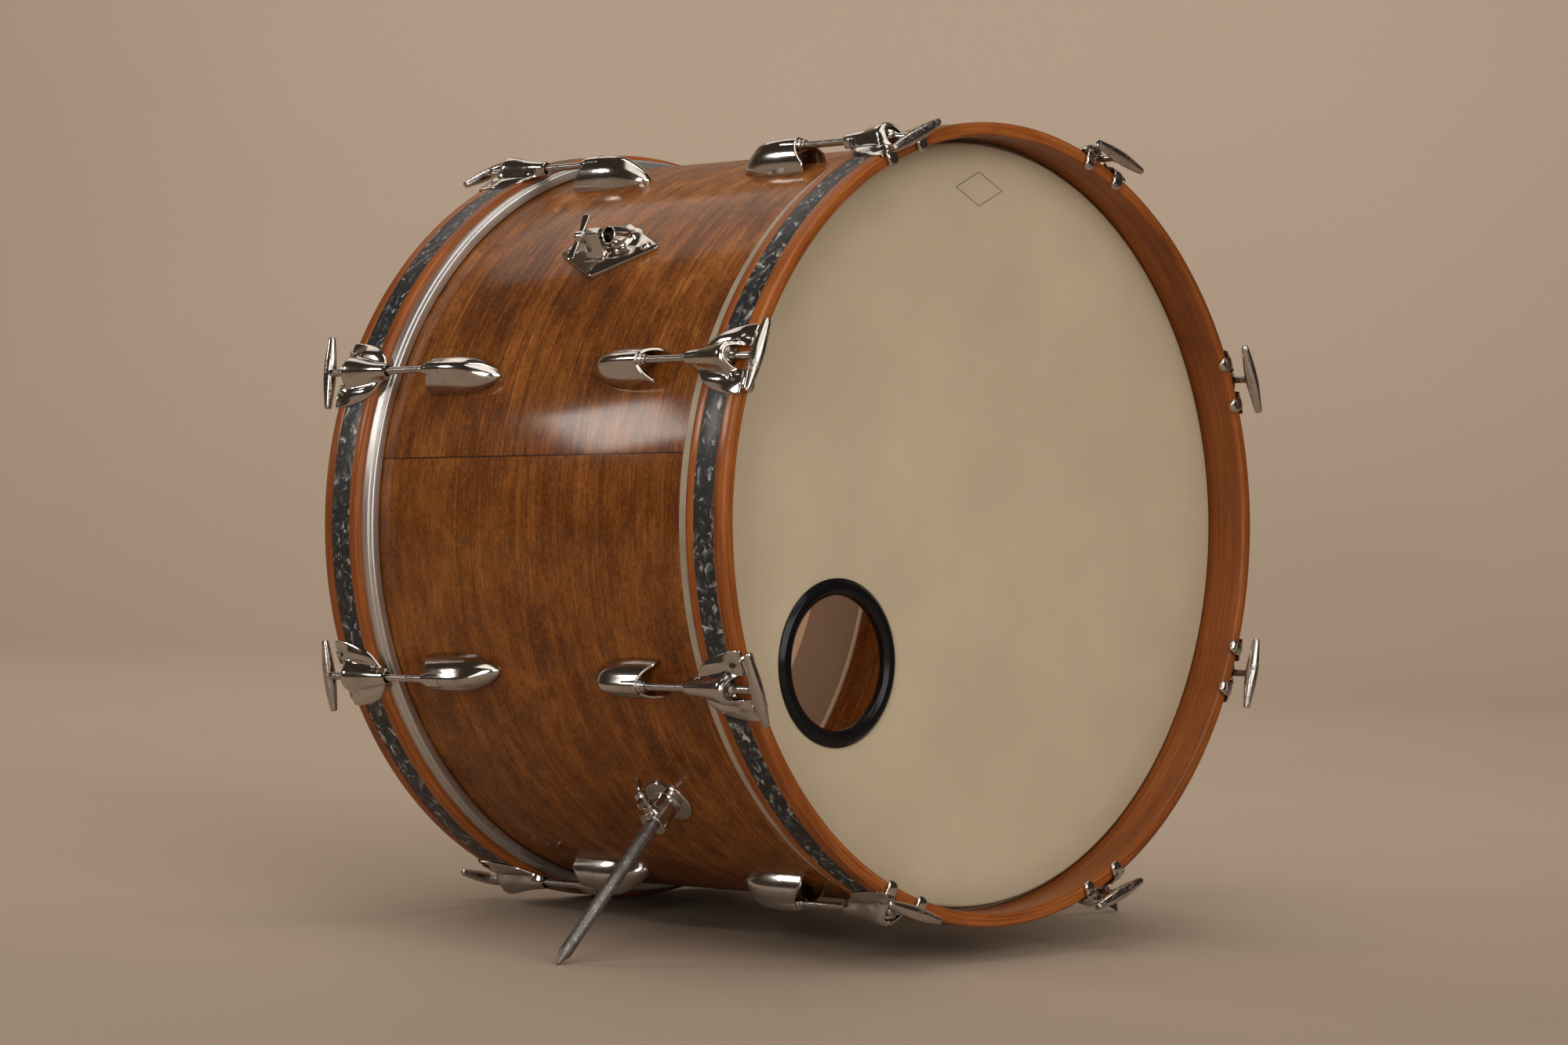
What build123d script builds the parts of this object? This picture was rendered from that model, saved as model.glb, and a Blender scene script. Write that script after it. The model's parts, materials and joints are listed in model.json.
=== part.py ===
"""A 22 x 14 inch bass drum on its spurs.

Model frame while building: millimetres, origin at the middle of the shell, Y along the
drum's axis with the resonant (front) head towards -Y, Z up. Angles go round the axis from
+X towards +Z, as seen from the resonant head. At the end every piece is tilted onto the
floor plane Z = 0, because the spurs lift the resonant end.
"""

from build123d import *
import math
import os

# ---- Shell and overall size
SHELL_RADIUS = 279.4  # 22 inch shell
SHELL_WALL = 7.0
SHELL_HALF = 177.8  # half of the 14 inch depth
SHELL_INSIDE = SHELL_RADIUS - SHELL_WALL
EDGE_LAND = 0.6
EDGE_ROUND = 3.0

# ---- Wood hoops with a pearl inlay
HOOP_OUTER = 292.0
HOOP_INNER = 281.6
HOOP_WIDTH = 38.1
END_FACE = 209.5  # middle of the drum to the front face of either hoop
HOOP_BACK = END_FACE - HOOP_WIDTH
HOOP_ROUND = 3.0
INLAY_BACK = 180.0
INLAY_FRONT = 199.4
INLAY_DEPTH = 0.8
INLAY_SINK = 0.25

# ---- Heads and their flesh hoops
FILM = 0.3
COLLAR_END = 164.0
COLLAR_GAP = 0.2
FLESH_INNER = 280.2
FLESH_OUTER = 287.9
FLESH_WIDTH = {"resonant": 9.4, "batter": 11.9}
GROOVE = 1.2
DAMPING_RING = (214.0, 270.0)
DAMPING_THICKNESS = 0.4

# ---- Port in the resonant head
PORT_X = -146.0
PORT_Z = -98.4
PORT_HOLE = 52.0
PORT_INNER = 48.0
PORT_OUTER = 60.0
PORT_SLEEVE = 51.4
PORT_FLANGE = 4.0
PORT_BACKING = 59.0

# ---- Tension hardware, eight places on each end
PLACES = 8
FIRST_ANGLE = 22.5
ROD_CIRCLE = 296.4
ROD_RADIUS = 2.75  # number 12 screw thread
ROD_TIP = 88.0
RUNNING_GAP = 0.05
CLEARANCE = 0.35
COLLAR_RADIUS = 4.2
COLLAR_BACK = 186.2
COLLAR_FRONT = 196.0
NECK_RADIUS = 3.0
HANDLE_CENTRE = END_FACE + 13.8
HANDLE_HALF = 27.0
HANDLE_RADIUS = 4.8
HANDLE_END_RADIUS = 2.5
# Turn of each T-handle from the tangent, in degrees, counted round from FIRST_ANGLE.
HANDLE_TURNS = {
    "resonant": (-3, 3, 3, 0, -2, 6, -4, 9),
    "batter": (-18, 0, 4, -6, 7, -3, -10, 13),
}

# ---- Lugs
LUG_TIP = 51.0
LUG_MOUTH = 119.5
LUG_RIDGE_MOUTH = 109.0
LUG_HALF_WIDTH = 14.0
LUG_HEIGHT = 23.2
LUG_SCREWS = (64.0, 98.0)
SCREW_RADIUS = 2.4
SCREW_TOP = 286.5
NUT_RADIUS = 4.9
NUT_BACK = 92.0
NUT_SHOULDER = 113.0
NUT_FRONT = 117.0

# ---- Claws
CLAW_BACK = 166.0
CLAW_FRONT = END_FACE + 2.3
CLAW_NOSE = 157.0
CLAW_PLATE = 2.5
CLAW_BELL_FRONT = 197.5
CLAW_TAB_INNER = 283.0
CLAW_TAB_PLACE = 16.5
CLAW_TAB_WIDTH = 8.0
ARCH_HALF = 10.5

# ---- Tom mount, at mid-depth on the upper left
TOM_ANGLE = 135.0
TOM_DEPTH = 1.0
TOM_PLATE_TOP = 282.6
TOM_HALF_LENGTH = 55.2
TOM_HALF_WIDTH = 29.8
TOM_BORE = 5.3
TOM_TUBE = 8.4
TOM_MOUTH = (11.5, -1.5, 297.0)
TOM_LEAN = 45.0
TOM_TUBE_LENGTH = 34.0
TOM_SCREW_PLACE = 38.5
TOM_BOLT = (-0.5, 296.0)
TOM_BLOCK_BACK = -14.0

# ---- Spurs
SPUR_ANGLES = {"left": 225.0, "right": 315.0}
SPUR_DEPTH = 62.5
SPUR_RADIUS = 4.76  # three-eighths of an inch
SPUR_TIP = 436.0
SPUR_POINT = 11.3
SPUR_TAIL = 156.0
SPUR_PLATE = 19.5
SPUR_PLATE_TOP = 281.4
SPUR_TUBE = 9.6
SPUR_TUBE_END = 302.6
SPUR_STEM = 8.0
SPUR_STEM_END = 258.0
SPUR_DISC = 10.1
SPUR_DISC_THICKNESS = 1.0
SPUR_BOLT_HEIGHT = 297.0
RETAINER_RADIUS = 6.6

# ---- Wing bolts
BOLT_RADIUS = 3.0
BARREL_RADIUS = 4.6
BARREL_LENGTH = 8.5
WING_SPAN = {"tom": 19.5, "spur": 16.2}
WING_HEIGHT = 7.0
WING_THICKNESS = 2.6
WING_RISE = 3.0

# ---- Vent
VENT_ANGLE = 45.0
VENT_RADIUS = 6.0

# Tilt that puts both spur tips and the rounded rear edge of the batter hoop on one plane.
TIP_DROP = SPUR_TIP * math.sin(math.radians(45))
EDGE_CENTRE_DROP = HOOP_OUTER - HOOP_ROUND
SPAN = SPUR_DEPTH + END_FACE - HOOP_ROUND
TILT = math.degrees(
    math.atan2(TIP_DROP - EDGE_CENTRE_DROP, SPAN)
    - math.asin(HOOP_ROUND / math.hypot(SPAN, TIP_DROP - EDGE_CENTRE_DROP))
)
LIFT = TIP_DROP * math.cos(math.radians(TILT)) + SPUR_DEPTH * math.sin(
    math.radians(-TILT)
)
STANCE = Location((0, 0, LIFT), (-TILT, 0, 0))

# ---- Planes: Z runs from the middle of the drum out through each end
END_PLANES = {
    "resonant": Plane.XZ,
    "batter": Plane(origin=(0, 0, 0), x_dir=(-1, 0, 0), z_dir=(0, 1, 0)),
}


# Half-sections of the rings: X is the radius, Y the distance from the middle of the drum.
SECTION_PLANES = {
    "resonant": Plane(origin=(0, 0, 0), x_dir=(1, 0, 0), z_dir=(0, 0, -1)),
    "batter": Plane.XY,
}


def rounded_corner(x, y, radius):
    """Start, middle and end of the arc that rounds off the corner at (x, y)."""
    middle = radius * (1 - math.sqrt(0.5))
    return (x, y - radius), (x - middle, y - middle), (x - radius, y)


def rim_plane(end, angle):
    """X points out of the drum at this angle, Z out through the end."""
    a = math.radians(angle)
    plane = END_PLANES[end]
    outward = plane.x_dir * math.cos(a) + plane.y_dir * math.sin(a)
    return Plane(origin=(0, 0, 0), x_dir=outward, z_dir=plane.z_dir)


def rod_plane(end, angle, turn):
    """Like rim_plane, with its origin on the tension rod's axis and turned about it."""
    place = rim_plane(end, angle).location * Location((ROD_CIRCLE, 0, 0), (0, 0, turn))
    return Plane(place)


def seat_plane(angle, depth):
    """Z points out of the shell at this angle, X towards the resonant end."""
    a = math.radians(angle)
    return Plane(origin=(0, -depth, 0), x_dir=(0, -1, 0), z_dir=(math.cos(a), 0, math.sin(a)))


def write(builder, name):
    """Stand the finished piece on the floor and save it."""
    builder.part.move(STANCE)
    builder.part.label = name
    export_step(builder.part, f"parts/{name}.step")


def tube(inner, outer, low, high, mode=Mode.ADD):
    """A plain ring between two heights of the current frame."""
    with BuildSketch(Plane.XY.offset(low)) as section:
        Circle(outer)
        Circle(inner, mode=Mode.SUBTRACT)
    extrude(section.sketch, amount=high - low, mode=mode)


os.makedirs("parts", exist_ok=True)


# ================= Pieces made once and repeated =================
# End pieces: X out of the drum, Y along the rim, Z out through the end.

with BuildPart() as lug:
    for z, half_width, height in (
        (LUG_TIP, 3.0, 3.0),
        (LUG_TIP + 7, 8.5, 11.0),
        (LUG_TIP + 20, 12.5, 18.5),
        (LUG_TIP + 36, LUG_HALF_WIDTH, LUG_HEIGHT),
        (LUG_MOUTH, LUG_HALF_WIDTH - 1, LUG_HEIGHT - 0.5),
    ):
        base = SHELL_RADIUS - 3
        with BuildSketch(Plane.XY.offset(z)):
            with BuildLine():
                dome = Spline(
                    (base, -half_width),
                    (SHELL_RADIUS + 0.42 * height, -0.86 * half_width),
                    (SHELL_RADIUS + height, 0),
                    (SHELL_RADIUS + 0.42 * height, 0.86 * half_width),
                    (base, half_width),
                )
                Line(dome @ 1, dome @ 0)
            make_face()
    loft()
    # The mouth slants back from the shell to the top of the ridge.
    with BuildSketch(Plane.XZ) as mouth_cut:
        with BuildLine():
            Polyline(
                (SHELL_RADIUS + 4, LUG_MOUTH),
                (SHELL_RADIUS + LUG_HEIGHT, LUG_RIDGE_MOUTH),
                (SHELL_RADIUS + LUG_HEIGHT + 6, LUG_RIDGE_MOUTH),
                (SHELL_RADIUS + LUG_HEIGHT + 6, LUG_MOUTH + 3),
                (SHELL_RADIUS + 4, LUG_MOUTH + 3),
                close=True,
            )
        make_face()
    extrude(mouth_cut.sketch, amount=20, both=True, mode=Mode.SUBTRACT)
    # Pocket for the swivel nut, and a blind hole beyond it for the rod's tip.
    with Locations((ROD_CIRCLE, 0, NUT_BACK)):
        Cylinder(NUT_RADIUS + 0.1, 40, align=(Align.CENTER, Align.CENTER, Align.MIN), mode=Mode.SUBTRACT)
        Cylinder(4.0, 12, align=(Align.CENTER, Align.CENTER, Align.MAX), mode=Mode.SUBTRACT)
    with Locations(*[(SHELL_RADIUS - 3, 0, z) for z in LUG_SCREWS]):
        Cylinder(
            SCREW_RADIUS + 0.1,
            2 * (SCREW_TOP + 0.5 - SHELL_RADIUS + 3),
            rotation=(0, 90, 0),
            mode=Mode.SUBTRACT,
        )
    Cylinder(SHELL_RADIUS + 0.02, 3 * SHELL_HALF, mode=Mode.SUBTRACT)

with BuildPart() as swivel_nut:
    with BuildSketch(Plane.XZ) as nut_section:
        with BuildLine():
            Polyline(
                (ROD_RADIUS + RUNNING_GAP, NUT_BACK),
                (NUT_RADIUS, NUT_BACK),
                (NUT_RADIUS, NUT_SHOULDER),
                (NUT_RADIUS - 1.2, NUT_SHOULDER),
                (NUT_RADIUS - 1.2, NUT_FRONT),
                (ROD_RADIUS + RUNNING_GAP, NUT_FRONT),
                close=True,
            )
        make_face()
    revolve(nut_section.sketch, axis=Axis.Z)

with BuildPart() as lug_screw:
    Cylinder(4.4, 3.2, align=(Align.CENTER, Align.CENTER, Align.MIN))
    fillet(lug_screw.edges().filter_by(GeomType.CIRCLE).sort_by(Axis.Z)[:1], 1.2)
    with Locations((0, 0, 3.2)):
        Cylinder(
            SCREW_RADIUS,
            SCREW_TOP - SHELL_INSIDE + 1.2,
            align=(Align.CENTER, Align.CENTER, Align.MIN),
        )
    Box(1.2, 6.5, 2.0, mode=Mode.SUBTRACT)

with BuildPart() as lug_washer:
    tube(SCREW_RADIUS + 0.1, 6.5, 0, 1.0)

with BuildPart() as claw:
    # Saddle plate that follows the hoop, widening towards the front.
    with BuildSketch(Plane.YZ.offset(HOOP_INNER)) as saddle_outline:
        with BuildLine():
            left = Spline((9, CLAW_BACK), (17, 174), (22.5, 187), (25, CLAW_FRONT))
            front = Line(left @ 1, (-25, CLAW_FRONT))
            right = Spline(front @ 1, (-22.5, 187), (-17, 174), (-9, CLAW_BACK))
            Line(right @ 1, left @ 0)
        make_face()
    extrude(saddle_outline.sketch, amount=20)
    tube(HOOP_OUTER + CLAW_PLATE, HOOP_OUTER + 40, CLAW_NOSE, CLAW_FRONT + 1, mode=Mode.SUBTRACT)
    # Tapered sleeve round the rod, opening into a bell at the front.
    with BuildSketch(Plane.XZ) as sleeve_section:
        with BuildLine():
            Polyline(
                (ROD_CIRCLE, CLAW_NOSE),
                (ROD_CIRCLE + 5.0, CLAW_NOSE),
                (ROD_CIRCLE + 6.4, 172),
                (ROD_CIRCLE + 7.4, 184),
                (ROD_CIRCLE + 10.6, CLAW_BELL_FRONT),
                (ROD_CIRCLE, CLAW_BELL_FRONT),
                close=True,
            )
        make_face()
    revolve(sleeve_section.sketch, axis=Axis((ROD_CIRCLE, 0, 0), (0, 0, 1)))
    # Front lip that hooks over the hoop's face, then the two tabs.
    with BuildSketch(Plane.XY.offset(END_FACE + 0.05)) as lip:
        with Locations((HOOP_OUTER - 1, 0)):
            Rectangle(2 * CLAW_PLATE + 2, 49)
        for side in (-1, 1):
            with Locations((CLAW_TAB_INNER + 6, side * CLAW_TAB_PLACE)):
                RectangleRounded(12, CLAW_TAB_WIDTH, 3.5)
    extrude(lip.sketch, amount=CLAW_FRONT - END_FACE - 0.05)
    # Arch for the rod's collar, bell bore and rod hole.
    with Locations((HOOP_OUTER + 4, 0, 186)):
        Box(30, 2 * ARCH_HALF, 40, align=(Align.CENTER, Align.CENTER, Align.MIN), mode=Mode.SUBTRACT)
    with BuildSketch(Plane.XZ) as bell_section:
        with BuildLine():
            Polyline(
                (ROD_CIRCLE + 6.8, 180),
                (ROD_CIRCLE + 7.4, 184),
                (ROD_CIRCLE + 10.6, CLAW_BELL_FRONT),
                (ROD_CIRCLE + 9.0, CLAW_BELL_FRONT),
                (ROD_CIRCLE + 5.6, 187),
                (ROD_CIRCLE + 5.6, 180),
                close=True,
            )
        make_face()
    revolve(bell_section.sketch, axis=Axis((ROD_CIRCLE, 0, 0), (0, 0, 1)))
    with Locations((ROD_CIRCLE, 0, CLAW_NOSE - 5)):
        Cylinder(
            ROD_RADIUS + CLEARANCE, 60, align=(Align.CENTER, Align.CENTER, Align.MIN), mode=Mode.SUBTRACT
        )
    with Locations((0, 0, END_FACE + 0.05)):
        Cylinder(HOOP_OUTER + 0.05, 70, align=(Align.CENTER, Align.CENTER, Align.MAX), mode=Mode.SUBTRACT)

# Tension rod: Z along the rod, Y along the T-handle.
with BuildPart() as tension_rod:
    with Locations((0, 0, ROD_TIP)):
        Cylinder(ROD_RADIUS, HANDLE_CENTRE - ROD_TIP, align=(Align.CENTER, Align.CENTER, Align.MIN))
    with Locations((0, 0, COLLAR_BACK)):
        Cylinder(COLLAR_RADIUS, COLLAR_FRONT - COLLAR_BACK, align=(Align.CENTER, Align.CENTER, Align.MIN))
        Cylinder(NECK_RADIUS, HANDLE_CENTRE - COLLAR_BACK, align=(Align.CENTER, Align.CENTER, Align.MIN))
    with BuildSketch(Plane.YZ) as spindle:
        with BuildLine():
            bulge = ThreePointArc(
                (-HANDLE_HALF, HANDLE_CENTRE + HANDLE_END_RADIUS),
                (0, HANDLE_CENTRE + HANDLE_RADIUS),
                (HANDLE_HALF, HANDLE_CENTRE + HANDLE_END_RADIUS),
            )
            Polyline(bulge @ 1, (HANDLE_HALF, HANDLE_CENTRE), (-HANDLE_HALF, HANDLE_CENTRE), bulge @ 0)
        make_face()
    revolve(spindle.sketch, axis=Axis((0, 0, HANDLE_CENTRE), (0, 1, 0)))
    fillet(tension_rod.edges().filter_by(GeomType.CIRCLE).sort_by(Axis.Y)[-1:], 1.0)
    fillet(tension_rod.edges().filter_by(GeomType.CIRCLE).sort_by(Axis.Y)[:1], 1.0)


def wing_bolt(shaft_length, half_span, wing_angle):
    """Z runs from the bolt's tip to its head; the wings stand at wing_angle from X."""
    with BuildPart() as bolt:
        Cylinder(BOLT_RADIUS, shaft_length, align=(Align.CENTER, Align.CENTER, Align.MIN))
        with Locations((0, 0, shaft_length)):
            Cylinder(BARREL_RADIUS, BARREL_LENGTH, align=(Align.CENTER, Align.CENTER, Align.MIN))
        fillet(bolt.edges().filter_by(GeomType.CIRCLE).sort_by(Axis.Z)[-1:], 1.8)
        wing_low = shaft_length + 1.0
        with BuildSketch(Plane.XZ) as wings:
            for side in (-1, 1):
                with BuildLine():
                    Polyline(
                        (side * 2.5, wing_low),
                        (side * (half_span - 1.5), wing_low + WING_RISE),
                        (side * half_span, wing_low + WING_RISE + 1.5),
                        (side * half_span, wing_low + WING_RISE + WING_HEIGHT - 1.5),
                        (side * (half_span - 1.5), wing_low + WING_RISE + WING_HEIGHT),
                        (side * 2.5, wing_low + WING_HEIGHT - 1.0),
                        close=True,
                    )
                make_face()
        extrude(wings.sketch, amount=WING_THICKNESS / 2, both=True)
    return bolt.part.rotate(Axis.Z, wing_angle)


# ================= Shell =================

with BuildPart() as shell:
    with BuildSketch() as wall:
        with BuildLine():
            bevel = SHELL_RADIUS - EDGE_ROUND
            Polyline(
                (SHELL_RADIUS, EDGE_ROUND - SHELL_HALF),
                (SHELL_RADIUS, SHELL_HALF - EDGE_ROUND),
            )
            ThreePointArc(*rounded_corner(SHELL_RADIUS, SHELL_HALF, EDGE_ROUND))
            Polyline(
                (bevel, SHELL_HALF),
                (bevel - EDGE_LAND, SHELL_HALF),
                (SHELL_INSIDE, SHELL_HALF - bevel + EDGE_LAND + SHELL_INSIDE),
                (SHELL_INSIDE, bevel - EDGE_LAND - SHELL_INSIDE - SHELL_HALF),
                (bevel - EDGE_LAND, -SHELL_HALF),
                (bevel, -SHELL_HALF),
            )
            ThreePointArc(*[(x, -y) for x, y in rounded_corner(SHELL_RADIUS, SHELL_HALF, EDGE_ROUND)])
        make_face()
    revolve(wall.sketch, axis=Axis.Y)
    for z in LUG_SCREWS:
        with Locations(Plane.XZ.offset(z), Plane.XZ.offset(-z)):
            with PolarLocations(SHELL_INSIDE + SHELL_WALL / 2, PLACES, start_angle=FIRST_ANGLE):
                Cylinder(SCREW_RADIUS + 0.2, 3 * SHELL_WALL, rotation=(0, 90, 0), mode=Mode.SUBTRACT)
    # Tom mount: two screws and the slanting passage for the arm.
    tom_seat = seat_plane(TOM_ANGLE, TOM_DEPTH)
    with Locations(tom_seat.offset(SHELL_RADIUS - 4)):
        with Locations((TOM_SCREW_PLACE, 0), (-TOM_SCREW_PLACE, 0)):
            Cylinder(2.3, 3 * SHELL_WALL, mode=Mode.SUBTRACT)
    with Locations(Plane(tom_seat.location * Location(TOM_MOUTH, (TOM_LEAN, 0, 0)))):
        Cylinder(TOM_BORE + 1.2, 120, align=(Align.CENTER, Align.CENTER, Align.MAX), mode=Mode.SUBTRACT)
    for angle in SPUR_ANGLES.values():
        with Locations(seat_plane(angle, SPUR_DEPTH).offset(SHELL_RADIUS - 4)):
            Cylinder(SPUR_STEM + 0.2, 3 * SHELL_WALL, mode=Mode.SUBTRACT)
    with Locations(seat_plane(VENT_ANGLE, 0).offset(SHELL_RADIUS - 4)):
        Cylinder(VENT_RADIUS + 0.1, 3 * SHELL_WALL, mode=Mode.SUBTRACT)
write(shell, "shell")


# ================= Both ends =================

for end, plane in END_PLANES.items():
    section_plane = SECTION_PLANES[end]

    with BuildPart() as hoop:
        with BuildSketch(section_plane) as hoop_section:
            with Locations(((HOOP_INNER + HOOP_OUTER) / 2, (HOOP_BACK + END_FACE) / 2)):
                RectangleRounded(HOOP_OUTER - HOOP_INNER, HOOP_WIDTH, HOOP_ROUND)
            with Locations((HOOP_OUTER, (INLAY_BACK + INLAY_FRONT) / 2)):
                Rectangle(2 * INLAY_DEPTH, INLAY_FRONT - INLAY_BACK, mode=Mode.SUBTRACT)
        revolve(hoop_section.sketch, axis=Axis.Y)
    write(hoop, f"{end}_hoop")

    with BuildPart() as inlay:
        with BuildSketch(section_plane) as inlay_section:
            with Locations((HOOP_OUTER - (INLAY_DEPTH + INLAY_SINK) / 2, (INLAY_BACK + INLAY_FRONT) / 2)):
                Rectangle(INLAY_DEPTH - INLAY_SINK, INLAY_FRONT - INLAY_BACK)
        revolve(inlay_section.sketch, axis=Axis.Y)
    write(inlay, f"{end}_hoop_inlay")

    # The film lies on the bearing edge, turns over it and hangs into the flesh hoop.
    with BuildPart(plane) as head:
        with BuildSketch(section_plane) as film_section:
            with BuildLine():
                under = rounded_corner(SHELL_RADIUS + COLLAR_GAP, SHELL_HALF, EDGE_ROUND)
                outside = SHELL_RADIUS + COLLAR_GAP + FILM
                over = rounded_corner(outside, SHELL_HALF + FILM, EDGE_ROUND + FILM)
                Polyline(over[2], (0, SHELL_HALF + FILM), (0, SHELL_HALF), under[2])
                ThreePointArc(*under)
                Polyline(
                    under[0],
                    (SHELL_RADIUS + COLLAR_GAP, COLLAR_END),
                    (outside, COLLAR_END),
                    over[0],
                )
                ThreePointArc(*over)
            make_face()
        revolve(film_section.sketch, axis=Axis.Y)
        if end == "resonant":
            with Locations((PORT_X, PORT_Z, SHELL_HALF)):
                Cylinder(PORT_HOLE, 10, mode=Mode.SUBTRACT)
    write(head, f"{end}_head")

    with BuildPart() as flesh_hoop:
        with BuildSketch(section_plane) as flesh_section:
            with Locations(((FLESH_INNER + FLESH_OUTER) / 2, HOOP_BACK - FLESH_WIDTH[end] / 2)):
                RectangleRounded(FLESH_OUTER - FLESH_INNER, FLESH_WIDTH[end], 1.0)
            if end == "batter":
                with Locations((FLESH_OUTER, HOOP_BACK - FLESH_WIDTH[end] + 3.2)):
                    Rectangle(2 * GROOVE, 1.6, mode=Mode.SUBTRACT)
        revolve(flesh_section.sketch, axis=Axis.Y)
    write(flesh_hoop, f"{end}_flesh_hoop")

    with BuildPart(plane) as claws:
        with PolarLocations(0, PLACES, start_angle=FIRST_ANGLE):
            add(claw.part)
    write(claws, f"{end}_claws")

    with BuildPart(plane) as lugs:
        with PolarLocations(0, PLACES, start_angle=FIRST_ANGLE):
            add(lug.part)
    write(lugs, f"{end}_lugs")

    with BuildPart(plane) as swivel_nuts:
        with PolarLocations(ROD_CIRCLE, PLACES, start_angle=FIRST_ANGLE):
            add(swivel_nut.part)
    write(swivel_nuts, f"{end}_swivel_nuts")

    with BuildPart(plane) as lug_screws:
        for z in LUG_SCREWS:
            with Locations((0, 0, z)):
                with PolarLocations(SHELL_INSIDE - 1.2 - 3.2, PLACES, start_angle=FIRST_ANGLE):
                    add(lug_screw.part, rotation=(0, 90, 0))
    write(lug_screws, f"{end}_lug_screws")

    with BuildPart(plane) as lug_washers:
        for z in LUG_SCREWS:
            with Locations((0, 0, z)):
                with PolarLocations(SHELL_INSIDE - 1.15, PLACES, start_angle=FIRST_ANGLE):
                    add(lug_washer.part, rotation=(0, 90, 0))
    write(lug_washers, f"{end}_lug_washers")

    for number, turn in enumerate(HANDLE_TURNS[end]):
        angle = FIRST_ANGLE + number * 360 / PLACES
        with BuildPart(rod_plane(end, angle, turn)) as rod:
            add(tension_rod.part)
        write(rod, f"{end}_tension_rod_{number + 1}")

with BuildPart(END_PLANES["batter"]) as damping_ring:
    with BuildSketch(END_PLANES["batter"].offset(SHELL_HALF - 0.05 - DAMPING_THICKNESS)):
        Circle(DAMPING_RING[1])
        Circle(DAMPING_RING[0], mode=Mode.SUBTRACT)
    extrude(amount=DAMPING_THICKNESS)
write(damping_ring, "batter_damping_ring")


# ================= Port ring =================

port_plane = Plane(Plane.XZ.location * Location((PORT_X, PORT_Z, SHELL_HALF)))

with BuildPart(port_plane) as port_ring:
    with BuildSketch(port_plane.offset(FILM)):
        Circle(PORT_OUTER)
    extrude(amount=PORT_FLANGE)
    fillet(port_ring.faces().sort_by(Axis.Y)[0].edges(), 2.8)
    with BuildSketch(port_plane.offset(-3.4)):
        Circle(PORT_SLEEVE)
    extrude(amount=3.4 + FILM)
    with BuildSketch(port_plane.offset(-3.4)):
        Circle(PORT_INNER)
    extrude(amount=10, mode=Mode.SUBTRACT)
    fillet(port_ring.faces().filter_by(GeomType.PLANE).sort_by(Axis.Y)[0].inner_wires().edges(), 2.0)
write(port_ring, "port_ring")

with BuildPart(port_plane) as port_ring_backing:
    with BuildSketch(port_plane.offset(-3.0)):
        Circle(PORT_BACKING)
        Circle(PORT_SLEEVE + 0.1, mode=Mode.SUBTRACT)
    extrude(amount=3.0)
write(port_ring_backing, "port_ring_backing")


# ================= Tom mount =================
# In this frame X runs towards the resonant end and Z straight out of the shell.

with BuildPart() as tom_casting:
    with BuildSketch(Plane.XY.offset(SHELL_RADIUS - 4)) as diamond:
        Polygon(
            (TOM_HALF_LENGTH, 0),
            (0, TOM_HALF_WIDTH),
            (-TOM_HALF_LENGTH, 0),
            (0, -TOM_HALF_WIDTH),
            align=None,
        )
        fillet(diamond.vertices(), 2.5)
    extrude(amount=TOM_PLATE_TOP - SHELL_RADIUS + 4)
    fillet(tom_casting.faces().sort_by(Axis.Z)[-1].edges(), 1.0)
    # Tapered block that carries the wing bolt.
    block_centre = (TOM_BLOCK_BACK + TOM_MOUTH[0]) / 2
    with BuildSketch(Plane.XY.offset(TOM_PLATE_TOP - 0.5)):
        with Locations((block_centre, TOM_BOLT[0])):
            Rectangle(TOM_MOUTH[0] - TOM_BLOCK_BACK, 18)
    with BuildSketch(Plane.XY.offset(TOM_BOLT[1] + 5.2)):
        with Locations((block_centre, TOM_BOLT[0])):
            Rectangle(TOM_MOUTH[0] - TOM_BLOCK_BACK, 9)
    loft()
    # Flared foot, then the leaning tube that takes the arm.
    with BuildSketch(Plane.XY.offset(TOM_PLATE_TOP - 0.5)):
        with Locations((TOM_MOUTH[0] + 1, 3)):
            Circle(14.5)
    with BuildSketch(Plane.XY.offset(TOM_PLATE_TOP + 9)):
        with Locations((TOM_MOUTH[0], 1)):
            Circle(8.6)
    loft()
    with Locations(Location(TOM_MOUTH, (TOM_LEAN, 0, 0))):
        Cylinder(TOM_TUBE, TOM_TUBE_LENGTH, align=(Align.CENTER, Align.CENTER, Align.MAX))
        Cylinder(TOM_BORE, 3 * TOM_TUBE_LENGTH, mode=Mode.SUBTRACT)
    with Locations((TOM_BLOCK_BACK - 1, *TOM_BOLT)):
        Cylinder(
            BOLT_RADIUS + RUNNING_GAP,
            TOM_MOUTH[0] - TOM_BLOCK_BACK,
            rotation=(0, 90, 0),
            align=(Align.CENTER, Align.CENTER, Align.MIN),
            mode=Mode.SUBTRACT,
        )
    with Locations((TOM_SCREW_PLACE, 0, SHELL_RADIUS), (-TOM_SCREW_PLACE, 0, SHELL_RADIUS)):
        Cylinder(2.3, 20, mode=Mode.SUBTRACT)
    Cylinder(SHELL_RADIUS + 0.02, 4 * TOM_HALF_LENGTH, rotation=(0, 90, 0), mode=Mode.SUBTRACT)

with BuildPart(tom_seat) as tom_mount_bracket:
    add(tom_casting.part)
write(tom_mount_bracket, "tom_mount_bracket")

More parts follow.
